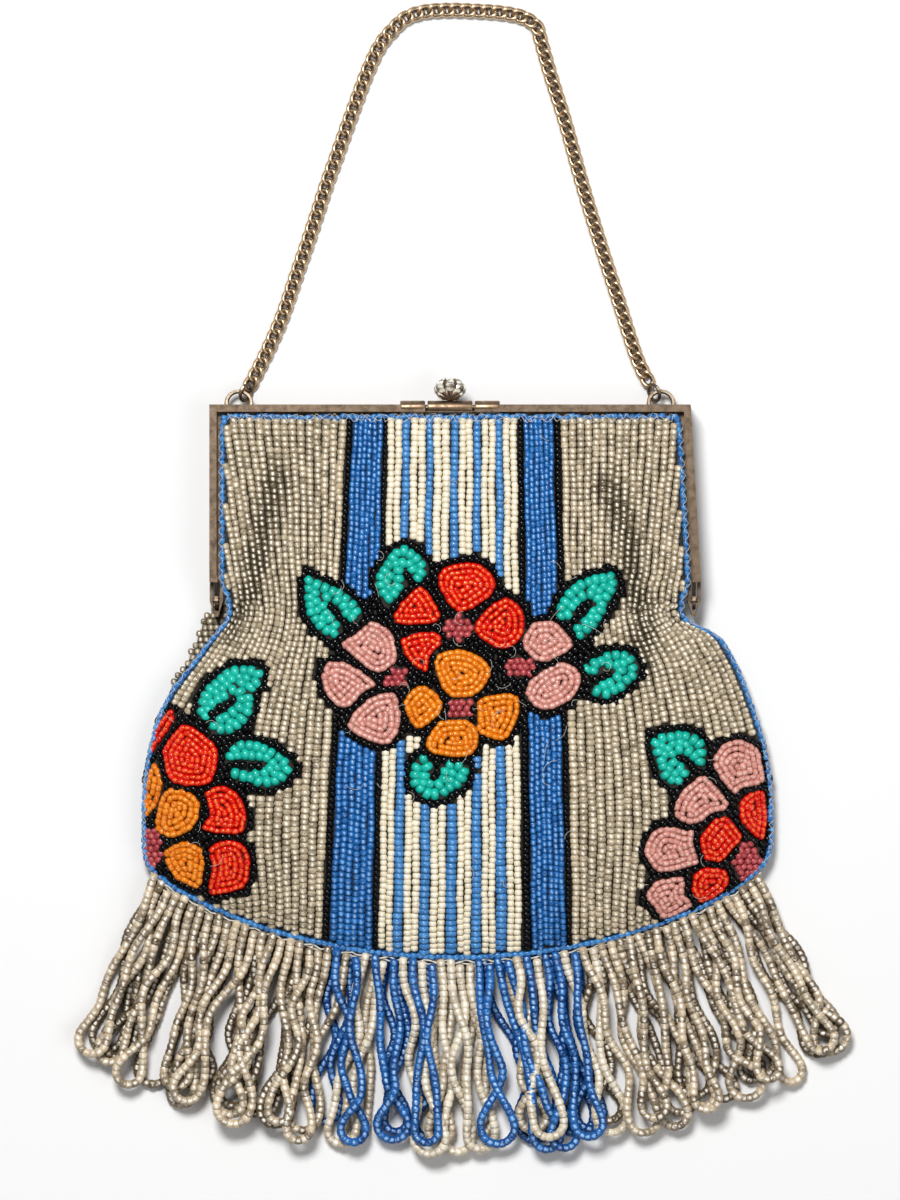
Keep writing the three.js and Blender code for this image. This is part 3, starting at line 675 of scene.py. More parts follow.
def depth_inside(outline, spots):
    """How far inside the outline each spot is, below zero where it is outside"""
    spots = np.atleast_2d(spots)[:, None]
    start, end = outline[None], np.roll(outline, -1, axis=0)[None]
    side = end - start
    share = np.clip(((spots - start) * side).sum(2) / np.maximum((side**2).sum(2), 1e-9), 0, 1)
    away = np.linalg.norm(spots - start - share[..., None] * side, axis=2).min(1)
    straddles = (start[..., 1] > spots[..., 1]) != (end[..., 1] > spots[..., 1])
    rise = np.where(side[..., 1] == 0, 1e-9, side[..., 1])
    reach = start[..., 0] + side[..., 0] * (spots[..., 1] - start[..., 1]) / rise
    inside = (straddles & (spots[..., 0] < reach)).sum(1) % 2 == 1
    return np.where(inside, away, -away)


outlines = [(colour, curve_through(corners)) for colour, corners in PETALS]
print("petals and leaves:", len(outlines))

# %% [markdown]
# Two beads can't share a place, so every bead that goes down is entered on a board of small
# squares, and a new one asks the board whether there is room. Neighbouring petals then share one
# black row where they are close, and get one each where they aren't.


# %% Laying rows of beads
BOARD_SQUARE = 2


class Board:
    """Remembers where beads lie"""

    def __init__(self):
        self.squares = {}

    def has_room(self, x, y, room):
        column, row = int(x // BOARD_SQUARE), int(y // BOARD_SQUARE)
        around = ((column + i, row + j) for i in (-1, 0, 1) for j in (-1, 0, 1))
        near = (spot for square in around for spot in self.squares.get(square, ()))
        return all(math.hypot(x - a, y - b) >= room for a, b in near)

    def enter(self, x, y):
        self.squares.setdefault((int(x // BOARD_SQUARE), int(y // BOARD_SQUARE)), []).append((x, y))


board = Board()
BEAD_SINK = 0.42
PETAL_LEFTOVER_ROOM = 0.74
LEAF_LEFTOVER_ROOM = 0.6
WALK_STEP = 0.2
TINT_SPREAD = 0.22


def sew_on_front(colour, x, y, along, length, width, height, shade=0.5):
    """Sews a bead on the front if there is cloth under it"""
    spot, up = on_front(x, y)
    if spot is None:
        return False
    along3 = Vector((along[0], along[1], 0))
    along3 -= up * along3.dot(up)
    tint = shade + luck.uniform(-TINT_SPREAD, TINT_SPREAD)
    wobble = luck.uniform(-0.05, 0.05) * width
    sew(colour, spot - up * (BEAD_SINK * height + wobble), along3, up, length, width, height, tint)
    board.enter(x, y)
    return True


def row_at(outline, inset, colour, pitch, width, height, room):
    """One row of beads along the outline, this far inside it"""
    after = np.roll(outline, -1, axis=0)
    lengths = np.linalg.norm(after - outline, axis=1)
    steps = np.maximum((lengths / WALK_STEP).astype(int), 1)
    turn = 1 if (outline[:, 0] * after[:, 1] - after[:, 0] * outline[:, 1]).sum() > 0 else -1
    spots, ways = [], []
    for start, end, count in zip(outline, after, steps):
        way = (end - start) / max(np.linalg.norm(end - start), 1e-9)
        inward = np.array((-way[1], way[0])) * turn
        for step in range(count):
            spots.append(start + (end - start) * step / count + inward * inset)
            ways.append(way)
    deep = depth_inside(outline, np.array(spots))
    last = None
    laid = 0
    for spot, way, depth in zip(spots, ways, deep):
        if depth < inset - 0.12:
            continue
        if last is not None and np.linalg.norm(spot - last) < pitch:
            continue
        if not board.has_room(spot[0], spot[1], room):
            continue
        wide, long = PLUMPNESS[colour]
        stray = 0.1 * width
        x, y = spot[0] + luck.uniform(-stray, stray), spot[1] + luck.uniform(-stray, stray)
        if sew_on_front(colour, x, y, way, pitch * long, width * wide * luck.uniform(0.9, 1.15), height):
            last = spot
            laid += 1
    return laid


def fill_petal(colour, outline):
    """Rows from the edge inwards, and then beads in what is left in the middle"""
    row, pitch = ROWS[colour]
    height = 0.9 * row
    inset = row * 0.5
    while row_at(outline, inset, colour, pitch, row, height, 0.78 * min(row, pitch)):
        inset += row * luck.uniform(0.92, 1.06)
    room = (LEAF_LEFTOVER_ROOM if colour == "turquoise" else PETAL_LEFTOVER_ROOM) * row
    across, up = (np.arange(low, high, 0.3) for low, high in zip(outline.min(0), outline.max(0)))
    grid = np.array([(x, y) for x in across for y in up])
    for x, y in grid[depth_inside(outline, grid) > 0.35 * row]:
        if board.has_room(x, y, room):
            sew_on_front(colour, x, y, (luck.uniform(-1, 1), 1), pitch * 1.15, row * 1.1, height)


for colour, outline in outlines:
    fill_petal(colour, outline)
print("beads in petals and leaves:", sum(len(places) for places in bead_box.values()))


# %% [markdown]
# The round hearts of the flowers are of larger, rounder beads, set close like eggs in a nest.

# %% The hearts of the flowers
HEART_PITCH = 1.62
HEART_ROW_SHARE = 0.9
HEART_ROOM = 1.2
HEART_STRAY = 0.2
HEART_LENGTH = (1.7, 2.1)
HEART_WIDTH, HEART_HEIGHT = 1.85, 1.8


def fill_heart(x, y, wide, high):
    for row in range(-4, 5):
        for step in range(-4, 5):
            across = (step + 0.5 * (row % 2)) * HEART_PITCH
            up = row * HEART_PITCH * HEART_ROW_SHARE
            inside = (across / (wide / 2)) ** 2 + (up / (high / 2)) ** 2 <= 1
            if inside and board.has_room(x + across, y + up, HEART_ROOM):
                way = (luck.uniform(-1, 1), luck.uniform(-1, 1))
                stray = (luck.uniform(-HEART_STRAY, HEART_STRAY), luck.uniform(-HEART_STRAY, HEART_STRAY))
                spot = (x + across + stray[0], y + up + stray[1])
                sew_on_front("rose", *spot, way, luck.uniform(*HEART_LENGTH), HEART_WIDTH, HEART_HEIGHT)


for heart in HEARTS:
    fill_heart(*heart)
print("beads in the hearts:", len(bead_box["rose"]))

# %% [markdown]
# The ground between the petals of one spray is black too. Where petals lie close, the black rows
# meet, and a small gap between them is filled: that is a closing, the same as widening the black
# area by a little over a millimetre and then narrowing it again, done here on a board of half
# millimetres.

# %% The black outlines and ground
GROUND_STEP = 0.5
GROUND_REACH = 1.75
CLOSING = 1.35
BLACK_HEIGHT, BLACK_ROOM = 1.5, 1.2
GROUND_HEIGHT, GROUND_ROOM = 1.7, 1.15


def shifted_any(mask, reach):
    """The mask widened by a round brush"""
    wide = mask.copy()
    steps = int(reach / GROUND_STEP)
    for i in range(-steps, steps + 1):
        for j in range(-steps, steps + 1):
            if math.hypot(i, j) * GROUND_STEP <= reach:
                wide |= np.roll(mask, (i, j), axis=(0, 1))
    return wide


ground_x = np.arange(-90, 90, GROUND_STEP)
ground_y = np.arange(-100, 30, GROUND_STEP)
ground_spots = np.stack(np.meshgrid(ground_x, ground_y, indexing="ij"), axis=-1).reshape(-1, 2)
ground_depth = np.full(len(ground_spots), -1e3)
for _, outline in outlines:
    close = np.abs(ground_spots - outline.mean(0)).max(1) < 22
    ground_depth[close] = np.maximum(ground_depth[close], depth_inside(outline, ground_spots[close]))
for x, y, wide, high in HEARTS:
    reach = np.hypot((ground_spots[:, 0] - x) / (wide / 2), (ground_spots[:, 1] - y) / (high / 2))
    ground_depth = np.maximum(ground_depth, (1 - reach) * min(wide, high) / 2)
covered = (ground_depth > -GROUND_REACH).reshape(len(ground_x), len(ground_y))
covered = ~shifted_any(~shifted_any(covered, CLOSING), CLOSING)


def is_covered(x, y):
    i = int(round((x - ground_x[0]) / GROUND_STEP))
    j = int(round((y - ground_y[0]) / GROUND_STEP))
    inside = 0 <= i < len(ground_x) and 0 <= j < len(ground_y)
    return inside and covered[i, j]


for _, outline in outlines:
    row_at(outline, -0.5 * BLACK_WIDTH, "black", BLACK_PITCH, BLACK_WIDTH, BLACK_HEIGHT, BLACK_ROOM)
order = np.argsort(-ground_depth)
for (x, y), depth in zip(ground_spots[order], ground_depth[order]):
    if depth < -0.5 and is_covered(x, y) and board.has_room(x, y, GROUND_ROOM):
        way = (luck.uniform(-1, 1), 1)
        sew_on_front("black", x, y, way, BLACK_PITCH * 1.2, BLACK_WIDTH * 1.12, GROUND_HEIGHT)
print("black beads around the flowers:", len(bead_box["black"]))

# %% [markdown]
# ## The striped ground
#
# Behind the flowers the beads hang in long columns from the frame to the hem: grey-beige at both
# sides, and between them cobalt bands and cream stripes with single blue lines, edged in black.
# The bag is wider below than above, so each stripe is given its width at the top and at the
# bottom, and the columns fan out between. The side columns are squeezed where the hinges are.

# %% The columns
TOP_LINE = 38.4
LOW_LINE = -79.1
FIRST_TOP, FIRST_LOW = -27.9, -33.7
STRIPES = [
    # colour, beads side by side, width at the top, width at the bottom
    ("black", 1, 1.6, 1.9),
    ("cobalt", 6, 7.4, 10.4),
    ("black", 1, 1.3, 1.6),
    ("cream", 2, 3.7, 3.6),
    ("sky", 1, 2.0, 2.5),
    ("cream", 2, 4.0, 4.0),
    ("sky", 1, 1.7, 2.6),
    ("cream", 2, 4.3, 3.9),
    ("sky", 1, 2.0, 2.8),
    ("cream", 2, 3.7, 3.6),
    ("sky", 1, 1.9, 2.6),
    ("cream", 2, 3.6, 3.5),
    ("sky", 1, 1.8, 2.8),
    ("cream", 2, 3.6, 3.7),
    ("black", 1, 1.6, 2.4),
    ("cobalt", 6, 7.3, 8.5),
    ("black", 1, 2.0, 1.6),
]
SIDE_COLUMNS = {-1: 20, 1: 22}
SIDE_ABOVE = [
    # y, how far out the side columns would reach behind the frame, left and right
    (43.0, -70.5, 69.0),
    (21.0, -64.6, 65.9),
    (6.0, -61.3, 63.2),
    (-6.0, -58.9, 61.4),
]
COLUMN_TOP = 40.9
CLOTH_TOP = 41.5
BEAD_PITCH = 1.45
SIDE_ROOM_ABOVE, SIDE_ROOM_BELOW = 0.75, 1.7
HINGE_TOP, HINGE_LOW = -1.0, -10.0
VALLEYS = [
    # the fold that runs down from each corner of the mouth, as (x, y); the silver beads along it get painted
    # shade
    [(-45.8, 27.0), (-47.8, 17.0), (-50.3, 5.0), (-53.0, -4.3), (-57.3, -11.6)],
    [(37.0, 24.4), (41.5, 14.0), (43.7, 2.9), (46.2, -9.1), (45.7, -21.0)],
]
VALLEY_REACH = 3.2
VALLEY_PAINTED_SHADE = 0.75
COLUMN_ROOM = 0.82
COLUMN_SHADE = (0.58, 0.68)
FIRST_COLUMN_SHADE = 0.85
COLUMN_WAVE = 0.13
COLUMN_HEM_ROOM = 1.5
FATNESS = (1.06, 1.18)
COBALT_FATNESS = 1.18


def stripe_line(share_top, share_low, y):
    share = (TOP_LINE - y) / (TOP_LINE - LOW_LINE)
    return share_top + (share_low - share_top) * share


def side_room(y):
    """The columns leave room for the edge row, which lies further in below the hinges"""
    return float(np.interp(y, (HINGE_LOW, HINGE_TOP), (SIDE_ROOM_BELOW, SIDE_ROOM_ABOVE)))


def valley_at(x, y):
    """How deep in a fold this place is, from 0 to 1"""
    deepest = 0.0
    for valley in VALLEYS:
        line = np.array(valley)
        if line[-1][1] - 6 < y < line[0][1] + 6:
            middle = np.interp(-y, -line[:, 1], line[:, 0])
            fade = min(1, (y - line[-1][1] + 6) / 6, (line[0][1] + 6 - y) / 6)
            deepest = max(deepest, fade * math.exp(-(((x - middle) / VALLEY_REACH) ** 2)))
    return deepest


ys = np.arange(44.0, -96.0, -1.0)
side_lines = {}
for side, column in ((-1, 1), (1, 2)):
    above = [row[0] for row in SIDE_ABOVE][::-1], [row[column] for row in SIDE_ABOVE][::-1]
    hinge_y = SIDE_ABOVE[-1][0]
    edges = np.array([side_edge(max(y, -74.0), side) - side * side_room(y) for y in ys])
    line = np.where(ys > hinge_y, np.interp(ys, *above), edges)
    padded = np.pad(line, 8, mode="edge")
    soft = np.convolve(padded, np.ones(17) / 17, mode="valid")
    limit = [side_edge(min(y, CLOTH_TOP), side) - side * side_room(y) for y in ys]
    side_lines[side] = (line, soft, np.array(limit))


def side_line(y, side, share):
    """The line that the outermost column follows, softened for those further in"""
    line, soft = (np.interp(-y, -ys, values) for values in side_lines[side][:2])
    return soft + (line - soft) * share**3


def is_between_sides(x, y):
    left, right = (np.interp(-y, -ys, side_lines[side][2]) for side in (-1, 1))
    return left <= x <= right


def column_lines():
    """Every column: its colour, and its place across and its width as functions of y"""
    top, low = FIRST_TOP, FIRST_LOW
    edges = {-1: (top, low)}
    for colour, count, wide_top, wide_low in STRIPES:
        for index in range(count):
            share = (index + 0.5) / count
            line = (top + wide_top * share, low + wide_low * share)
            widths = (wide_top / count, wide_low / count)
            place, width = (lambda y, ends=ends: stripe_line(*ends, y) for ends in (line, widths))
            yield colour, place, width, index
        top, low = top + wide_top, low + wide_low
    edges[1] = (top, low)
    for side, edge in edges.items():
        count = SIDE_COLUMNS[side]
        for index in range(count):
            share = (index + 0.5) / count

            def place(y, share=share, edge=edge, side=side):
                start = stripe_line(*edge, y)
                return start + (side_line(y, side, share) - start) * share

            def width(y, share=share, edge=edge, side=side, count=count):
                return abs(side_line(y, side, share) - stripe_line(*edge, y)) / count

            yield "silver", place, width, index


def sew_column(colour, place, width, index):
    y = COLUMN_TOP - luck.uniform(0, 0.6)
    lighter = colour == "silver" and index == 0
    shade = FIRST_COLUMN_SHADE if lighter else luck.uniform(*COLUMN_SHADE)
    phase = luck.uniform(0, 6.28)
    while y > -96:
        x = place(y)
        lower = place(y - 0.5)
        slope = math.hypot(1, (lower - x) / 0.5)
        x_here = x + COLUMN_WAVE * math.sin(y / 4 + phase) + luck.uniform(-0.1, 0.1)
        if y < hem_edge(x) + COLUMN_HEM_ROOM:
            break
        if is_between_sides(x, y) and not is_covered(x, y) and board.has_room(x_here, y, COLUMN_ROOM):
            wide = max(width(y), 1.2)
            height = min(1.75, 0.55 + 0.62 * wide)
            # painted shade: the silver beads are darker in the fold valleys
            darker = VALLEY_PAINTED_SHADE * valley_at(x, y) if colour == "silver" else 0
            along = (x - lower, 0.5)
            fat = COBALT_FATNESS if colour == "cobalt" else luck.uniform(*FATNESS)
            sew_on_front(colour, x_here, y, along, BEAD_PITCH * 1.2, wide * fat, height, shade - darker)
        y -= BEAD_PITCH * luck.uniform(0.9, 1.1) / slope


for column in column_lines():
    sew_column(*column)
print("beads on the front so far:", sum(len(places) for places in bead_box.values()))

# %% [markdown]
# ## The edges
#
# A single row of light blue beads runs right round the front, over the raw edge of the cloth:
# under the rail, down inside the arms, out behind the hinges, down the sides and along the hem.

# %% The blue edge
EDGE_WIDTH = 1.7
EDGE_PITCH = 1.5
EDGE_OUT_ABOVE, EDGE_OUT_BELOW = 0.3, -0.75
TOP_ROW = 41.9
HEM_ROW_IN = 0.8
TOP_EDGE_FROM = 40
FEEL_TRIES = 12
FEEL_STEP = 0.25
FEEL_SHRINK = 0.004


def edge_row_x(y, side):
    """Over the edge of the cloth inside the frame, and a little in from it below"""
    out = np.interp(y, (HINGE_LOW, HINGE_TOP), (EDGE_OUT_BELOW, EDGE_OUT_ABOVE))
    return side_edge(min(y, CLOTH_TOP), side) + side * float(out)


def edge_path():
    """Points all round the front, from the top left on"""
    top = [(x, TOP_ROW) for x in np.linspace(edge_row_x(41, -1), edge_row_x(41, 1), 60)]
    sides = {side: [(edge_row_x(y, side), y) for y in np.arange(41.0, -72.0, -1.0)] for side in (-1, 1)}
    hem = [(x, hem_edge(x) + HEM_ROW_IN) for x in np.linspace(sides[1][-1][0] - 1, sides[-1][-1][0] + 1, 90)]
    return top + sides[1] + hem + sides[-1][::-1]


def walk(points, pitch):
    """Even steps along a line of points, and the way that each heads"""
    points = np.array(points, float)
    gaps = np.linalg.norm(np.diff(points, axis=0), axis=1)
    travelled = np.concatenate([[0], np.cumsum(gaps)])
    stops = np.arange(0, travelled[-1], pitch)
    places, ahead, behind = (
        np.stack([np.interp(stops + step, travelled, points[:, k]) for k in range(points.shape[1])], axis=1)
        for step in (0, 0.2, -0.2))
    return places, ahead - behind


def near_front(x, y):
    """The front's height at a place, or at the nearest place further in"""
    inward = -FEEL_STEP if y > TOP_EDGE_FROM else FEEL_STEP
    for step in range(FEEL_TRIES):
        spot, up = on_front(x * (1 - step * FEEL_SHRINK), y + inward * step)
        if spot is not None:
            return Vector((x, y, spot.z - 0.1 * step)), up
    return Vector((x, y, 5.0)), Vector((0, 0, 1))


def sew_edge(points, colour, width, pitch):
    places, ways = walk(points, pitch)
    for (x, y), way in zip(places, ways):
        loose = 0.35 if y > TOP_EDGE_FROM else 0.12
        spot, up = near_front(x, y)
        middle = spot - up * 0.25 * width + Vector((0, luck.uniform(-loose, loose), 0))
        bent = (way[0] + luck.uniform(-0.15, 0.15), way[1] + luck.uniform(-0.15, 0.15), 0)
        wide = width * luck.uniform(0.9, 1.1)
        sew(colour, middle, bent, up, pitch * 1.25, wide, 0.9 * wide, luck.uniform(0.1, 0.9))


sew_edge(edge_path(), "sky", EDGE_WIDTH, EDGE_PITCH)
print("beads on the front in all:", sum(len(places) for places in bead_box.values()))

# %% [markdown]
# ## The back
#
# The back is never seen when the purse lies as it does here, so it is finished plainly: the same
# stripes in plain beads of fewer faces, without flowers.

# %% The back's beads
BACK_PITCH = 1.6
BACK_WIDTH = 2.2
BACK_HEIGHT = 1.5
BACK_LEVEL = 0.8
BACK_ROOM = 1.2
BACK_HEM_ROOM = 1.0
BACK_MIDDLE = -1.0
SILVER_FROM, COBALT_FROM = 30, 20
RIM_TOP, RIM_LOW = -3.5, -34
RIM_PITCH = 1.5
RIM_BEAD = (1.7, 1.8, 1.6)


def back_colour(x, step):
    """Cream with a blue line in every third column, then cobalt, then grey"""
    from_middle = abs(x - BACK_MIDDLE)
    if from_middle > SILVER_FROM:
        return "silver"
    if from_middle > COBALT_FROM:
        return "cobalt"
    return "cream" if step % 3 else "sky"


def sew_back():
    places = {}
    for y in np.arange(COLUMN_TOP, -94.5, -BACK_PITCH):
        left, right = side_edge(y, -1, back_bed), side_edge(y, 1, back_bed)
        first = math.ceil((left + BACK_ROOM) / BACK_WIDTH)
        last = math.floor((right - BACK_ROOM) / BACK_WIDTH)
        for step in range(first, last + 1):
            x = step * BACK_WIDTH
            if y < hem_edge(x, back_bed) + BACK_HEM_ROOM:
                continue
            tint = luck.uniform(0.3, 0.7)
            size = (BACK_PITCH * 1.05, BACK_WIDTH, BACK_HEIGHT)
            bead = ((x, y, BACK_LEVEL), (0, 1, 0), (0, 0, -1), *size, tint)
            places.setdefault(back_colour(x, step), []).append(bead)
    return places


def sew_back_rim():
    """The back is wider than the front just below the hinges, and its beads show there"""
    for side in (-1, 1):
        for y in np.arange(RIM_TOP, RIM_LOW, -RIM_PITCH):
            inner, outer = side_edge(y, side), side_edge(y, side, back_bed)
            for x in np.arange(abs(inner) + 0.4, abs(outer) - 0.3, RIM_PITCH):
                spot, up = feel(back_bed, (side * x, y, SKY), (0, 0, -1))
                tint = luck.uniform(0.1, 0.5)
                sew("silver", spot + up * 0.2, (0.1, 1, 0), up, *RIM_BEAD, tint)


back_box = sew_back()
sew_back_rim()

# %% Make the beads of the bag
for colour, places in bead_box.items():
    make_beads("front_" + colour, round_bead, places, glass[colour], slots[colour])
for colour, places in back_box.items():
    make_beads("back_" + colour, plain_bead, places, glass[colour], slots[colour])

# %% [markdown]
# ## The fringe
#
# Each strand of the fringe is a loop: threaded beads go down from the hem, turn, and come back to
# it. Both legs hang side by side or cross, sway a little, and open into a drop at the end. The
# imported model holds one fused lock for each loop on top, which is hidden here; the loops fan out
# from left to right on their own, and shorter loops lie beneath them, their glass darker as painted
# shade. Strands can't pass through each other, so they are laid one after the other: where a bead
# meets one that already lies there it goes on top, and its neighbours on the thread are lifted too.

# %% How the fringe hangs
LOOPS = 34
UNDER_LOOPS = 26
FAN_LEFT, FAN_RIGHT = math.radians(-21), math.radians(27)
FRINGE_LENGTH = 46.5
STRAND = 2.5
STRAND_PITCH = 1.55
ROOT_ABOVE_HEM = -0.5
LENGTH_SWING, LENGTH_PACE = 0.04, 3.7
UNDER_SHARE = 0.95
# each loop draws its own values between these: where it narrows above the drop, how narrow, how
# far it drifts aside, how far and how often its legs sway, and how wide its drop is
WAIST_ABOVE_DROP = (9, 17)
WAIST = (1.0, 1.7)
DRIFT = (-3.6, 3.6)
SWAY = (0.7, 2.1)
WAVES = (1.0, 2.0)
DROP = (2.8, 4.6)
LOOP_COLOURS = {
    # the loops that aren't grey, counted from the left
    11: "fringe_cobalt", 12: "fringe_cream", 13: "fringe_cobalt", 14: "fringe_cream", 15: "fringe_cobalt",
    16: "fringe_cream", 17: "fringe_cream", 18: "fringe_cobalt", 19: "fringe_cobalt", 20: "fringe_cream",
    21: "fringe_cobalt", 22: "fringe_cobalt", 23: "fringe_cream",
}


def hem_line():
    """The hem as evenly spaced points, from the left seam to the right one"""
    left, right = side_edge(-71, -1) + 1.0, side_edge(-71, 1) - 1.0
    points = [(x, hem_edge(x) + ROOT_ABOVE_HEM) for x in np.linspace(left, right, 200)]
    return walk(points, 0.25)[0]


hem_points = hem_line()


def hem_root(share):
    return hem_points[int(np.clip(share, 0, 1) * (len(hem_points) - 1))]


def smooth(value):
    value = min(max(value, 0.0), 1.0)
    return value * value * (3 - 2 * value)


def loop_path(shares, centre_share, length, lean, drop, crossed):
    """The thread's way from one root on the hem down, round the drop and up to the other root"""
    centre = hem_root(centre_share)
    down = np.array((math.sin(lean), -math.cos(lean)))
    side = np.array((math.cos(lean), math.sin(lean)))
    turn_at = length - drop
    waist_at = turn_at - luck.uniform(*WAIST_ABOVE_DROP)
    waist = luck.uniform(*WAIST)
    drift = luck.uniform(*DRIFT)
    legs = []
    for sign, share in zip((-1, 1), shares):
        root = hem_root(share)
        start_side = float((root - centre) @ side)
        start_down = float((root - centre) @ down)
        sway, phase = luck.uniform(*SWAY), luck.uniform(0, 6.28)
        waves = luck.uniform(*WAVES)
        end_sign = -sign if crossed else sign
        leg = []
        for u in np.arange(start_down, turn_at, 0.6):
            reached = (u - start_down) / (turn_at - start_down)
            to_waist = smooth((u - start_down) / (waist_at - start_down))
            opened = smooth((u - waist_at) / (turn_at - waist_at))
            wave = sway * math.sin(reached * waves * 2 * math.pi + phase) * math.sin(reached * math.pi)
            across = start_side * (1 - to_waist) + sign * waist * to_waist
            across = across * (1 - opened) + end_sign * drop * opened
            leg.append(centre + down * u + side * (across + wave + drift * reached))
        legs.append(leg)
    turn_sign = 1 if crossed else -1
    bottom = []
    for step in range(1, 12):
        angle = math.pi * step / 12
        across = turn_sign * drop * math.cos(angle)
        bottom.append(centre + down * (turn_at + drop * math.sin(angle)) + side * (across + drift))
    return np.array(legs[0] + bottom + legs[1][::-1])


# %% Laying the strands over each other
TOUCH = 0.86 * STRAND
ROOT_HEIGHT = 3.4
SLOPE = 0.42
ROOT_FALL = 0.3
OWN_BEADS_SKIPPED = 4
REACH = 45
MOST_STRANDS = 3.1
lying = [np.zeros((0, 3))]


def lay_strand(path):
    """Heights for a strand laid over those that already lie there"""
    places, _ = walk(path, STRAND_PITCH)
    count = len(places)
    from_root = np.minimum(np.arange(count), np.arange(count)[::-1])
    heights = np.maximum(STRAND / 2, ROOT_HEIGHT - ROOT_FALL * from_root)
    others = np.vstack(lying)
    others = others[(np.abs(others[:, :2] - places.mean(0)) < REACH).all(1)]
    for index in range(count):
        own = max(index - OWN_BEADS_SKIPPED, 0)
        near = np.vstack([others, np.column_stack([places[:own], heights[:own]])])
        gaps = np.hypot(near[:, 0] - places[index, 0], near[:, 1] - places[index, 1])
        touching = gaps < TOUCH
        if touching.any():
            rise = near[touching, 2] + np.sqrt(TOUCH**2 - gaps[touching] ** 2)
            heights[index] = max(heights[index], min(rise.max(), MOST_STRANDS * STRAND))
    steps = np.abs(np.arange(count)[:, None] - np.arange(count)[None])
    spots = np.column_stack([places, (heights[None, :] - SLOPE * steps).max(1)])
    lying.append(spots)
    return spots


# %% The loops of the fringe
def lean_at(share, index):
    wobble = 0.05 * math.sin(index * 2.4) + 0.04 * math.sin(index * 5.1)
    return FAN_LEFT + (FAN_RIGHT - FAN_LEFT) * share + wobble


def loop_specs():
    """Every loop with its two roots, the ones beneath first"""
    for index in range(UNDER_LOOPS):
        share = (index + 0.5) / UNDER_LOOPS
        yield (share - 0.012, share + 0.012), share, index, int(share * LOOPS), UNDER_SHARE
    roots = [[(index + 0.25) / LOOPS, (index + 0.75) / LOOPS] for index in range(LOOPS)]
    for index in range(0, LOOPS - 1):
        if luck.random() < 0.5:
            roots[index][1], roots[index + 1][0] = roots[index + 1][0], roots[index][1]
    order = list(range(LOOPS))
    luck.shuffle(order)
    for index in order:
        yield roots[index], (index + 0.5) / LOOPS, index, index, 1.0


fringe_box = {}
for roots, share, index, colour_index, shorter in loop_specs():
    length = FRINGE_LENGTH * shorter * (1 + LENGTH_SWING * math.sin(index * LENGTH_PACE))
    colour = LOOP_COLOURS.get(colour_index, "fringe_silver")
    drop = luck.uniform(*DROP)
    path = loop_path(roots, share, length, lean_at(share, index), drop, luck.random() < 0.5)
    spots = lay_strand(path)
    # painted shade: the loops beneath get darker glass, as they lie under the top loops
    shade = luck.uniform(0.35, 0.65) if shorter == 1 else luck.uniform(-0.25, 0.1)
    ways = np.gradient(spots, axis=0)
    for spot, way in zip(spots, ways):
        tint = shade + luck.uniform(-0.4, 0.4)
        thick = STRAND * luck.uniform(0.93, 1.04)
        fringe_box.setdefault(colour, []).append(
            (spot, way, (0.01, 0.02, 1), STRAND_PITCH * 1.5, thick, thick, tint))
print("highest strand of the fringe at", round(np.vstack(lying)[:, 2].max() + STRAND / 2, 1), "mm")
fringe_pieces = [make_beads(colour, round_bead, places, glass[colour], slots[colour])
                 for colour, places in fringe_box.items()]
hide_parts("fringe")

# %% [markdown]
# ## The chain
#
# A curb chain's links are all alike: ovals, each twisted about its length so that the next one
# lies close in it. Each link keeps a number called "hidden" by which the gilding goes dark towards
# the link's inside and the underside of its wire: partly patina in the hollows, partly painted
# shade. One link is a ring spun from a small circle, stretched and twisted. The links follow the
# same way as the imported chain, which is one plain tube.

# %% The chain's links
RING_X = 52.8
RING_Y = 46.46
CHAIN_RISE = 97.25
CHAIN_ROUTE = [
    # share of the way across from the middle to a ring, share of the height
    (-0.866, 0.123), (-0.795, 0.212), (-0.731, 0.314), (-0.663, 0.422), (-0.587, 0.549), (-0.534, 0.63),
    (-0.466, 0.734), (-0.39, 0.844), (-0.331, 0.91), (-0.269, 0.951), (-0.208, 0.98), (-0.117, 0.996),
    (0.0, 1.0), (0.114, 0.998), (0.227, 0.994), (0.318, 0.986), (0.373, 0.974), (0.415, 0.953),
    (0.432, 0.918), (0.479, 0.828), (0.545, 0.713), (0.625, 0.555), (0.706, 0.409), (0.795, 0.258),
    (0.884, 0.107),
]
LINK_PITCH = 2.64
LINK_WIDTH = 3.9
LINK_LENGTH = 4.95
LINK_WIRE = 0.63
LINK_TWIST = math.radians(-84)
LINK_SIDES, LINK_STEPS = 7, 16
LINK_SQUARENESS = 1.6
END_LINK_REACH = 2.6
# how dark the gilding gets: painted shade towards the link's inside and the underside of its wire, partly
# patina in the hollows
DARK_START, DARK_INWARD, DARK_BELOW = 0.05, 1.3, 0.35


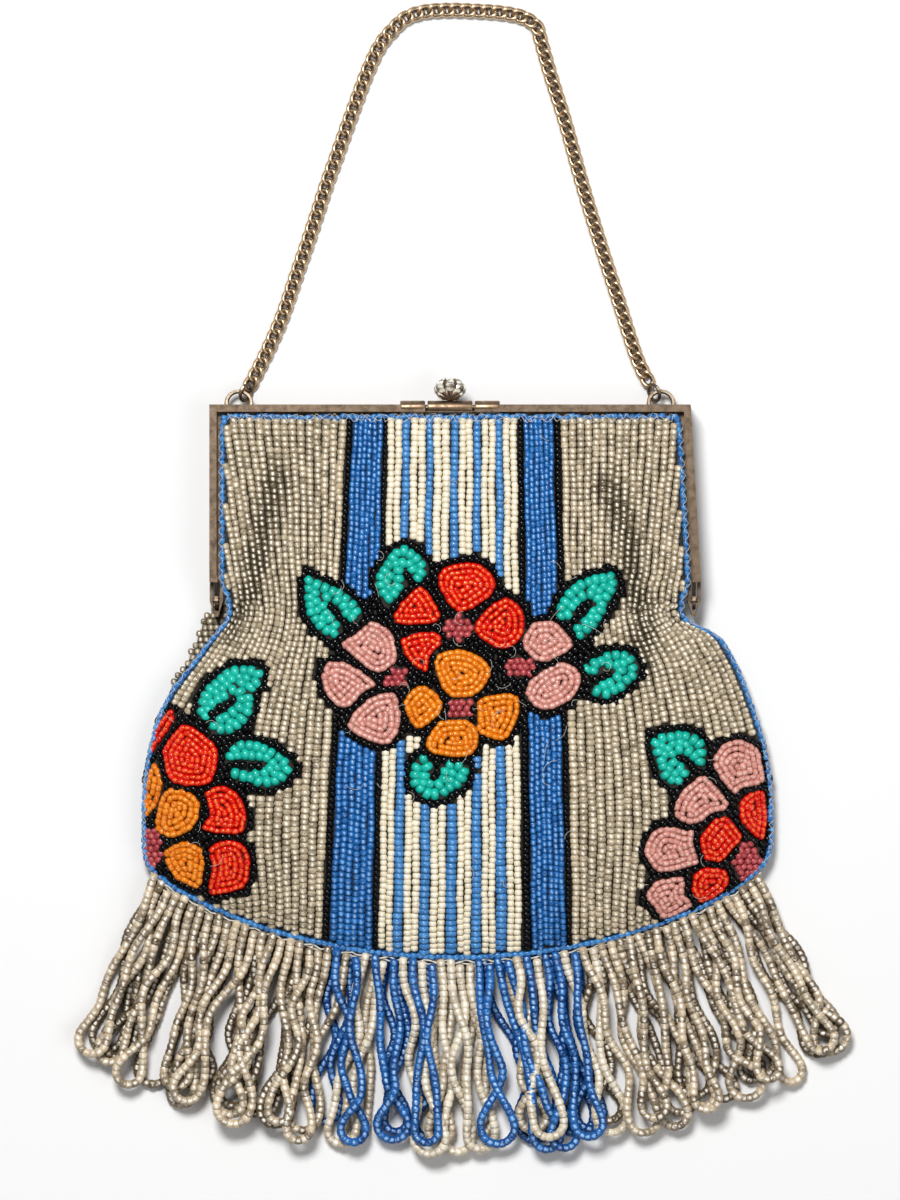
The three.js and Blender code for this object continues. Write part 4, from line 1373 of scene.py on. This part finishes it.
def make_link():
    """One link along X, flat in the middle, with one end turned up and the other down"""
    bm = bmesh.new()
    half = LINK_WIDTH / 2 - LINK_WIRE
    section = bmesh.ops.create_circle(bm, segments=LINK_SIDES, radius=LINK_WIRE)["verts"]
    rotate(bm, section, math.pi / 2, "X")
    bmesh.ops.translate(bm, verts=section, vec=(half, 0, 0))
    bmesh.ops.spin(bm, geom=bm.verts[:] + bm.edges[:], cent=(0, 0, 0), axis=(0, 0, 1),
                   angle=2 * math.pi, steps=LINK_STEPS, use_merge=True)
    bmesh.ops.remove_doubles(bm, verts=bm.verts, dist=0.001)
    # the "hidden" number: painted shade on the inner side and the underside of the wire, partly patina in the
    # hollows
    hidden = bm.verts.layers.float.new("hidden")
    for corner in bm.verts:
        inward = (half - corner.co.xy.length) / LINK_WIRE
        dark = DARK_START + DARK_INWARD * inward - DARK_BELOW * corner.co.z / LINK_WIRE
        corner[hidden] = min(max(dark, 0), 1)
    stretch = (LINK_LENGTH - LINK_WIDTH) / 2
    for corner in bm.verts:
        corner.co.x += stretch * math.copysign(min(abs(corner.co.x) / half * LINK_SQUARENESS, 1), corner.co.x)
    for corner in bm.verts:
        rotate(bm, [corner], LINK_TWIST * corner.co.x / LINK_LENGTH, "X")
    bmesh.ops.recalc_face_normals(bm, faces=bm.faces)
    for face in bm.faces:
        face.smooth = True
    return mesh_of(bm, "link")


def chain_path():
    middle_x = (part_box("ring_left")[0].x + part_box("ring_right")[1].x) / 2 / MM
    start = [(b[0] + b[1]) / 2 / MM for b in (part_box("end_link_left"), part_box("end_link_right"))]
    route = [(middle_x + across * RING_X, RING_Y + up * CHAIN_RISE) for across, up in CHAIN_ROUTE]
    ends = [np.array(s[:2]) for s in start]
    first, last = (
        end + END_LINK_REACH * (np.array(stop) - end) / np.linalg.norm(np.array(stop) - end)
        for end, stop in zip(ends, (route[0], route[-1])))
    points = np.array([first, *route, last])
    before = np.vstack([points[:1], points[:-1]])
    after = np.vstack([points[1:], points[-1:]])
    beyond = np.vstack([points[2:], points[-1:], points[-1:]])
    curve = []
    for a, b, c, d in zip(before[:-1], points[:-1], after[:-1], beyond[:-1]):
        curve += [between(a, b, c, d, share) for share in np.arange(0, 1, 0.1)]
    return curve + [points[-1]]


def make_chain(material):
    link = make_link()
    places, ways = walk(chain_path(), LINK_PITCH)
    bm = bmesh.new()
    for _ in places:
        bm.from_mesh(link)
    mesh = mesh_of(bm, "chain_links")
    corners = np.array([v.co for v in link.vertices])
    level = -corners[:, 2].min()
    along = ways / np.linalg.norm(ways, axis=1, keepdims=True)
    across = np.stack([-along[:, 1], along[:, 0]], axis=1)
    flat = corners[None, :, :1] * along[:, None] + corners[None, :, 1:2] * across[:, None] + places[:, None]
    high = np.broadcast_to(corners[None, :, 2:] + level, flat.shape[:2] + (1,))
    mesh.vertices.foreach_set("co", (np.concatenate([flat, high], axis=2) * MM).astype(np.float32).ravel())
    shade = [item.value for item in link.attributes["hidden"].data]
    mesh.attributes["hidden"].data.foreach_set("value", np.tile(shade, len(places)).astype(np.float32))
    mesh.materials.append(material)
    mesh.update()
    piece = add_object("chain_links", mesh)
    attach(piece, "root")
    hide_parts("chain")
    print("links in the chain:", len(places))


# %% [markdown]
# ## Old brass
#
# The frame is brass that has gone brown in its corners and stays bright where hands rub it; here
# the brown patches simply lie at random. Two noises do it: a broad one for the brown patches and a
# fine one for scratches, which only bumps the surface. One node group makes the colour, the
# roughness and that bump's height for the frame, the chain and the knob.

# %% The metals
def make_brass_group():
    group, given, result = new_group(
        "old_brass",
        [("Bright", COLOUR, (0.6, 0.45, 0.25, 1)), ("Brown", COLOUR, (0.1, 0.06, 0.03, 1)),
         ("Patches", NUMBER, 0.5), ("Patina and shade", NUMBER, 0.0), ("Gloss", NUMBER, 0.3)],
        [("Color", COLOUR), ("Roughness", NUMBER), ("Height", NUMBER)])
    link = group.links.new
    patches = add_noise(group, Scale=420, Detail=8, Roughness=0.8)
    fine = add_noise(group, Scale=1400, Detail=3)
    spread = add_node(group, "ShaderNodeMapRange")
    set_sockets(spread, From_Min=0.36, From_Max=0.68)
    link(patches.outputs["Fac"], spread.inputs["Value"])
    amount = add_node(group, "ShaderNodeMath", operation="MULTIPLY", use_clamp=True)
    link(spread.outputs["Result"], amount.inputs[0])
    link(given.outputs["Patches"], amount.inputs[1])
    # on the chain the "hidden" number darkens the gilding too: partly patina, partly painted shade
    brown_and_shade = add_node(group, "ShaderNodeMath", operation="MAXIMUM")
    link(amount.outputs[0], brown_and_shade.inputs[0])
    link(given.outputs["Patina and shade"], brown_and_shade.inputs[1])
    mix = add_node(group, "ShaderNodeMix", data_type="RGBA")
    link(brown_and_shade.outputs[0], mix.inputs["Factor"])
    link(given.outputs["Bright"], mix.inputs["A"])
    link(given.outputs["Brown"], mix.inputs["B"])
    link(mix.outputs["Result"], result.inputs["Color"])
    rough = add_node(group, "ShaderNodeMath", operation="MULTIPLY_ADD", use_clamp=True)
    rough.inputs[1].default_value = 0.3
    link(amount.outputs[0], rough.inputs[0])
    link(given.outputs["Gloss"], rough.inputs[2])
    link(rough.outputs[0], result.inputs["Roughness"])
    link(fine.outputs["Fac"], result.inputs["Height"])
    return group


brass_group = make_brass_group()


def make_brass(name, bright, brown, patches, gloss, shade_and_patina_by=None):
    material, tree, shader = new_material(name)
    brass = add_node(tree, "ShaderNodeGroup", node_tree=brass_group)
    set_sockets(brass, Bright=(*bright, 1), Brown=(*brown, 1), Patches=patches, Gloss=gloss)
    bump = add_node(tree, "ShaderNodeBump")
    set_sockets(bump, Strength=0.12, Distance=0.0001)
    tree.links.new(brass.outputs["Color"], shader.inputs["Base Color"])
    tree.links.new(brass.outputs["Roughness"], shader.inputs["Roughness"])
    tree.links.new(brass.outputs["Height"], bump.inputs["Height"])
    tree.links.new(bump.outputs["Normal"], shader.inputs["Normal"])
    set_sockets(shader, Metallic=1.0)
    if shade_and_patina_by:
        hidden = add_node(tree, "ShaderNodeAttribute", attribute_name=shade_and_patina_by)
        tree.links.new(hidden.outputs["Fac"], brass.inputs["Patina and shade"])
    return material


frame_brass = make_brass("frame_brass", (0.26, 0.19, 0.132), (0.045, 0.028, 0.018), 0.9, 0.36)
tube_brass = make_brass("tube_brass", (0.40, 0.275, 0.175), (0.05, 0.03, 0.018), 1.0, 0.28)
ring_brass = make_brass("ring_brass", (0.30, 0.235, 0.165), (0.06, 0.04, 0.026), 0.9, 0.3)
chain_gilt = make_brass("chain_gilt", (0.72, 0.53, 0.34), (0.02, 0.011, 0.006), 0.25, 0.32, "hidden")
knob_metal = make_brass("knob_metal", (0.34, 0.24, 0.17), (0.05, 0.03, 0.02), 0.9, 0.34)
METAL_OF = {
    "frame_front": frame_brass, "frame_back": frame_brass, "hinge_pin_left": frame_brass,
    "hinge_pin_right": frame_brass, "clasp_lever": frame_brass, "clasp_pin": frame_brass,
    "clasp_knob": knob_metal, "ring_left": ring_brass, "ring_right": ring_brass,
    "end_link_left": ring_brass, "end_link_right": ring_brass,
}
for node, metal in METAL_OF.items():
    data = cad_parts[node].data
    data.materials.clear()
    data.materials.append(metal)
make_chain(chain_gilt)

# %% [markdown]
# ## The knob
#
# The knob by which the clasp is tipped is a small fluted melon. Each of its lobes is set with a row
# of cut paste stones. The melon is a sphere whose creases are drawn in, and one stone is a low
# cone with a flat table, set on the lobes again and again.

# %% The knob and its stones
KNOB_LOBES = 8
KNOB_CREASE = 0.44
KNOB_DROP = 0.5
KNOB_LEAN = math.radians(38)
STONE_RADIUS = 1.12
STONE_RINGS = (-38, -14, 10, 34, 58)
STONE_TABLE, STONE_DEPTH, STONE_SEAT = 0.6, 0.5, 0.93
MELON_RADIUS = 0.96
LOBE_SHARPNESS = 0.6


def lobe_swell(turn):
    return 1 - KNOB_CREASE * (1 - abs(math.cos(turn * KNOB_LOBES / 2)) ** LOBE_SHARPNESS)


def knob_place():
    """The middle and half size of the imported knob, a little lower, so that it stands on the tube"""
    low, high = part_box("clasp_knob")
    low = low - Vector((0, KNOB_DROP * MM, 0))
    return (low + high) / 2, (high - low) / 2


def make_knob():
    """The melon's axis points away from the rail"""
    middle, half = knob_place()
    bm = bmesh.new()
    bmesh.ops.create_uvsphere(bm, u_segments=64, v_segments=20, radius=MELON_RADIUS)
    for corner in bm.verts:
        swell = lobe_swell(math.atan2(corner.co.y, corner.co.x))
        bmesh.ops.scale(bm, vec=(swell, swell, 1), verts=[corner])
    place_on_clasp(bm, bm.verts, middle, half)
    return knob_piece(bm, "knob_melon", knob_metal)


def place_on_clasp(bm, corners, middle, half):
    rotate(bm, corners, -math.pi / 2 - KNOB_LEAN, "X")
    bmesh.ops.scale(bm, vec=half, verts=corners)
    bmesh.ops.translate(bm, vec=middle, verts=corners)


def knob_piece(bm, name, material):
    for face in bm.faces:
        face.smooth = name == "knob_melon"
    mesh = mesh_of(bm, name)
    mesh.materials.append(material)
    piece = add_object(name, mesh)
    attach(piece, "clasp")
    print(name, "has", len(mesh.polygons), "faces")
    return piece


def make_stones(material):
    middle, half = knob_place()
    bm = bmesh.new()
    for lobe in range(KNOB_LOBES):
        turn = 2 * math.pi * lobe / KNOB_LOBES
        for ring in STONE_RINGS:
            tilt = math.radians(ring)
            wide = STONE_RADIUS * (0.55 + 0.45 * math.cos(tilt)) / half.x * MM
            stone = bmesh.ops.create_cone(
                bm, segments=8, radius1=wide, radius2=wide * STONE_TABLE, depth=wide * STONE_DEPTH,
                cap_ends=True)["verts"]
            bmesh.ops.translate(bm, vec=(0, 0, STONE_SEAT), verts=stone)
            rotate(bm, stone, math.pi / 2 - tilt, "Y")
            rotate(bm, stone, turn, "Z")
    place_on_clasp(bm, bm.verts, middle, half * 0.97)
    return knob_piece(bm, "knob_stones", material)


def make_paste():
    material, tree, shader = new_material("paste_stone")
    cloud = add_noise(tree, Scale=700, Detail=2)
    stops = [(0.35, (0.20, 0.17, 0.12)), (0.62, (0.90, 0.88, 0.78))]
    colour_by(tree, cloud.outputs["Fac"], shader, stops)
    set_sockets(shader, Roughness=0.12, IOR=1.9)
    return material


knob = make_knob()
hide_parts("clasp_knob")
make_stones(make_paste())

# %% [markdown]
# The clasp's hinge is three short tubes on one pin: the outer two belong to the frame, the middle
# one is the lever. Each is a smooth tube with rounded ends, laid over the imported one.

# %% The clasp's tubes
TUBE_RADIUS = 1.68
TUBE_EDGE = 0.28
TUBE_Y, TUBE_Z = 43.96, 9.4


def make_tube(name, low_x, high_x, body):
    """A tube along X between two places, with rounded ends"""
    bm = bmesh.new()
    ring = bmesh.ops.create_circle(bm, segments=40, radius=TUBE_RADIUS, cap_ends=True)["verts"]
    rotate(bm, ring, math.pi / 2, "Y")
    bmesh.ops.translate(bm, verts=ring, vec=(low_x, TUBE_Y, TUBE_Z))
    grown = bmesh.ops.extrude_face_region(bm, geom=bm.faces[:])["geom"]
    far = [part for part in grown if isinstance(part, bmesh.types.BMVert)]
    bmesh.ops.translate(bm, verts=far, vec=(high_x - low_x, 0, 0))
    rims = [e for e in bm.edges if abs(e.verts[0].co.x - e.verts[1].co.x) < 0.001]
    bmesh.ops.bevel(bm, geom=rims, affect="EDGES", offset=TUBE_EDGE, segments=3, profile=0.5, material=-1)
    bmesh.ops.recalc_face_normals(bm, faces=bm.faces)
    bmesh.ops.scale(bm, vec=(MM, MM, MM), verts=bm.verts)
    for face in bm.faces:
        face.smooth = len(face.verts) == 4
    mesh = mesh_of(bm, name)
    mesh.materials.append(tube_brass)
    piece = add_object(name, mesh)
    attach(piece, body)
    print(name, "has", len(mesh.polygons), "faces")


TUBES = [
    # name, from x, to x, body
    ("clasp_tube_left", -14.4, -8.28, "root"),
    ("clasp_tube_middle", -7.64, 3.52, "clasp"),
    ("clasp_tube_right", 4.16, 10.28, "root"),
]
for tube in TUBES:
    make_tube(*tube)

# %% [markdown]
# ## Thread
#
# Fine white cotton holds it all: a line below the blue row of the hem, and stitches over the top
# row. A curve with a thin bevel is the simplest thread, made a mesh at the end.


# %% The threads
def make_thread(name, runs, radius, material):
    curve = bpy.data.curves.new(name, "CURVE")
    curve.dimensions = "3D"
    curve.bevel_depth = radius * MM
    curve.bevel_resolution = 0
    for points in runs:
        spline = curve.splines.new("POLY")
        spline.points.add(len(points) - 1)
        for point, spot in zip(spline.points, points):
            point.co = (spot[0] * MM, spot[1] * MM, spot[2] * MM, 1)
    holder = add_object(name + "_curve", curve)
    graph = bpy.context.evaluated_depsgraph_get()
    mesh = bpy.data.meshes.new_from_object(holder.evaluated_get(graph))
    bpy.data.objects.remove(holder)
    mesh.materials.clear()
    mesh.materials.append(material)
    piece = add_object(name, mesh)
    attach(piece, "root")
    print(name, "has", len(mesh.polygons), "faces")
    return piece


def make_cotton_thread():
    material, tree, shader = new_material("white_thread")
    fuzz = add_noise(tree, Scale=2500, Detail=2)
    stops = [(0, (0.55, 0.50, 0.40)), (1, (0.90, 0.88, 0.82))]
    colour_by(tree, fuzz.outputs["Fac"], shader, stops)
    set_sockets(shader, Roughness=0.7)
    return material


thread = make_cotton_thread()


def hem_thread(shift, phase):
    run = []
    for index, (x, y) in enumerate(hem_points[::4]):
        swing = 0.3 * math.sin(index * 1.3 + phase) + luck.uniform(-0.15, 0.15)
        run.append((x, y - ROOT_ABOVE_HEM - 0.1 - shift + swing, 4.9 - shift + 0.3 * math.cos(index * 2.3)))
    return run


def top_stitches(phase):
    run = []
    left, right = edge_row_x(41, -1) + 1, edge_row_x(41, 1) - 1
    for index, x in enumerate(np.linspace(left, right, 150)):
        y = 41.3 + 0.9 * math.sin(index * 1.1 + phase) + luck.uniform(-0.5, 0.5)
        spot, _ = near_front(x, y)
        run.append((x + luck.uniform(-0.4, 0.4), y, spot.z + 0.45 + 0.25 * math.cos(index * 1.9)))
    return run


def side_stitches(side, phase):
    run = []
    for index, y in enumerate(np.arange(39, -70, -0.8)):
        x = edge_row_x(y, side) + 0.6 * math.sin(index * 1.7 + phase)
        spot, _ = near_front(x, y)
        run.append((x, y, spot.z + 0.55))
    return run


def wisp(x, y):
    """A loose end of thread that lies on the beads"""
    turn, bend = luck.uniform(0, 6.28), luck.uniform(-0.7, 0.7)
    run = []
    for _ in range(luck.randint(5, 9)):
        spot, up = on_front(x, y)
        if spot is None:
            break
        run.append(spot + up * 0.35)
        x += 0.7 * math.cos(turn)
        y += 0.7 * math.sin(turn)
        turn += bend + luck.uniform(-0.2, 0.2)
    return run


make_thread("hem_thread", [hem_thread(0, 0), hem_thread(0.5, 2)], 0.24, thread)
edge_runs = [top_stitches(0), top_stitches(2), side_stitches(-1, 0), side_stitches(1, 1)]
make_thread("edge_thread", edge_runs, 0.07, thread)
wisps = [wisp(luck.uniform(-35, 35), luck.uniform(-50, 5)) for _ in range(40)]
wisps += [wisp(luck.uniform(-75, 75), luck.uniform(-80, 38)) for _ in range(50)]
make_thread("loose_threads", [run for run in wisps if len(run) > 3], 0.04, thread)

# %% [markdown]
# ## Sizes
#
# The box of the dressed purse is printed, as the box of the imported model was at the start, so
# the two can be compared.

# %% Sizes and finish
low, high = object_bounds()
sizes = {"cad_low": list(cad_low), "cad_high": list(cad_high), "low": list(low), "high": list(high)}
print("box of the dressed purse in mm:", [round(v / MM, 1) for v in (*low, *high)])
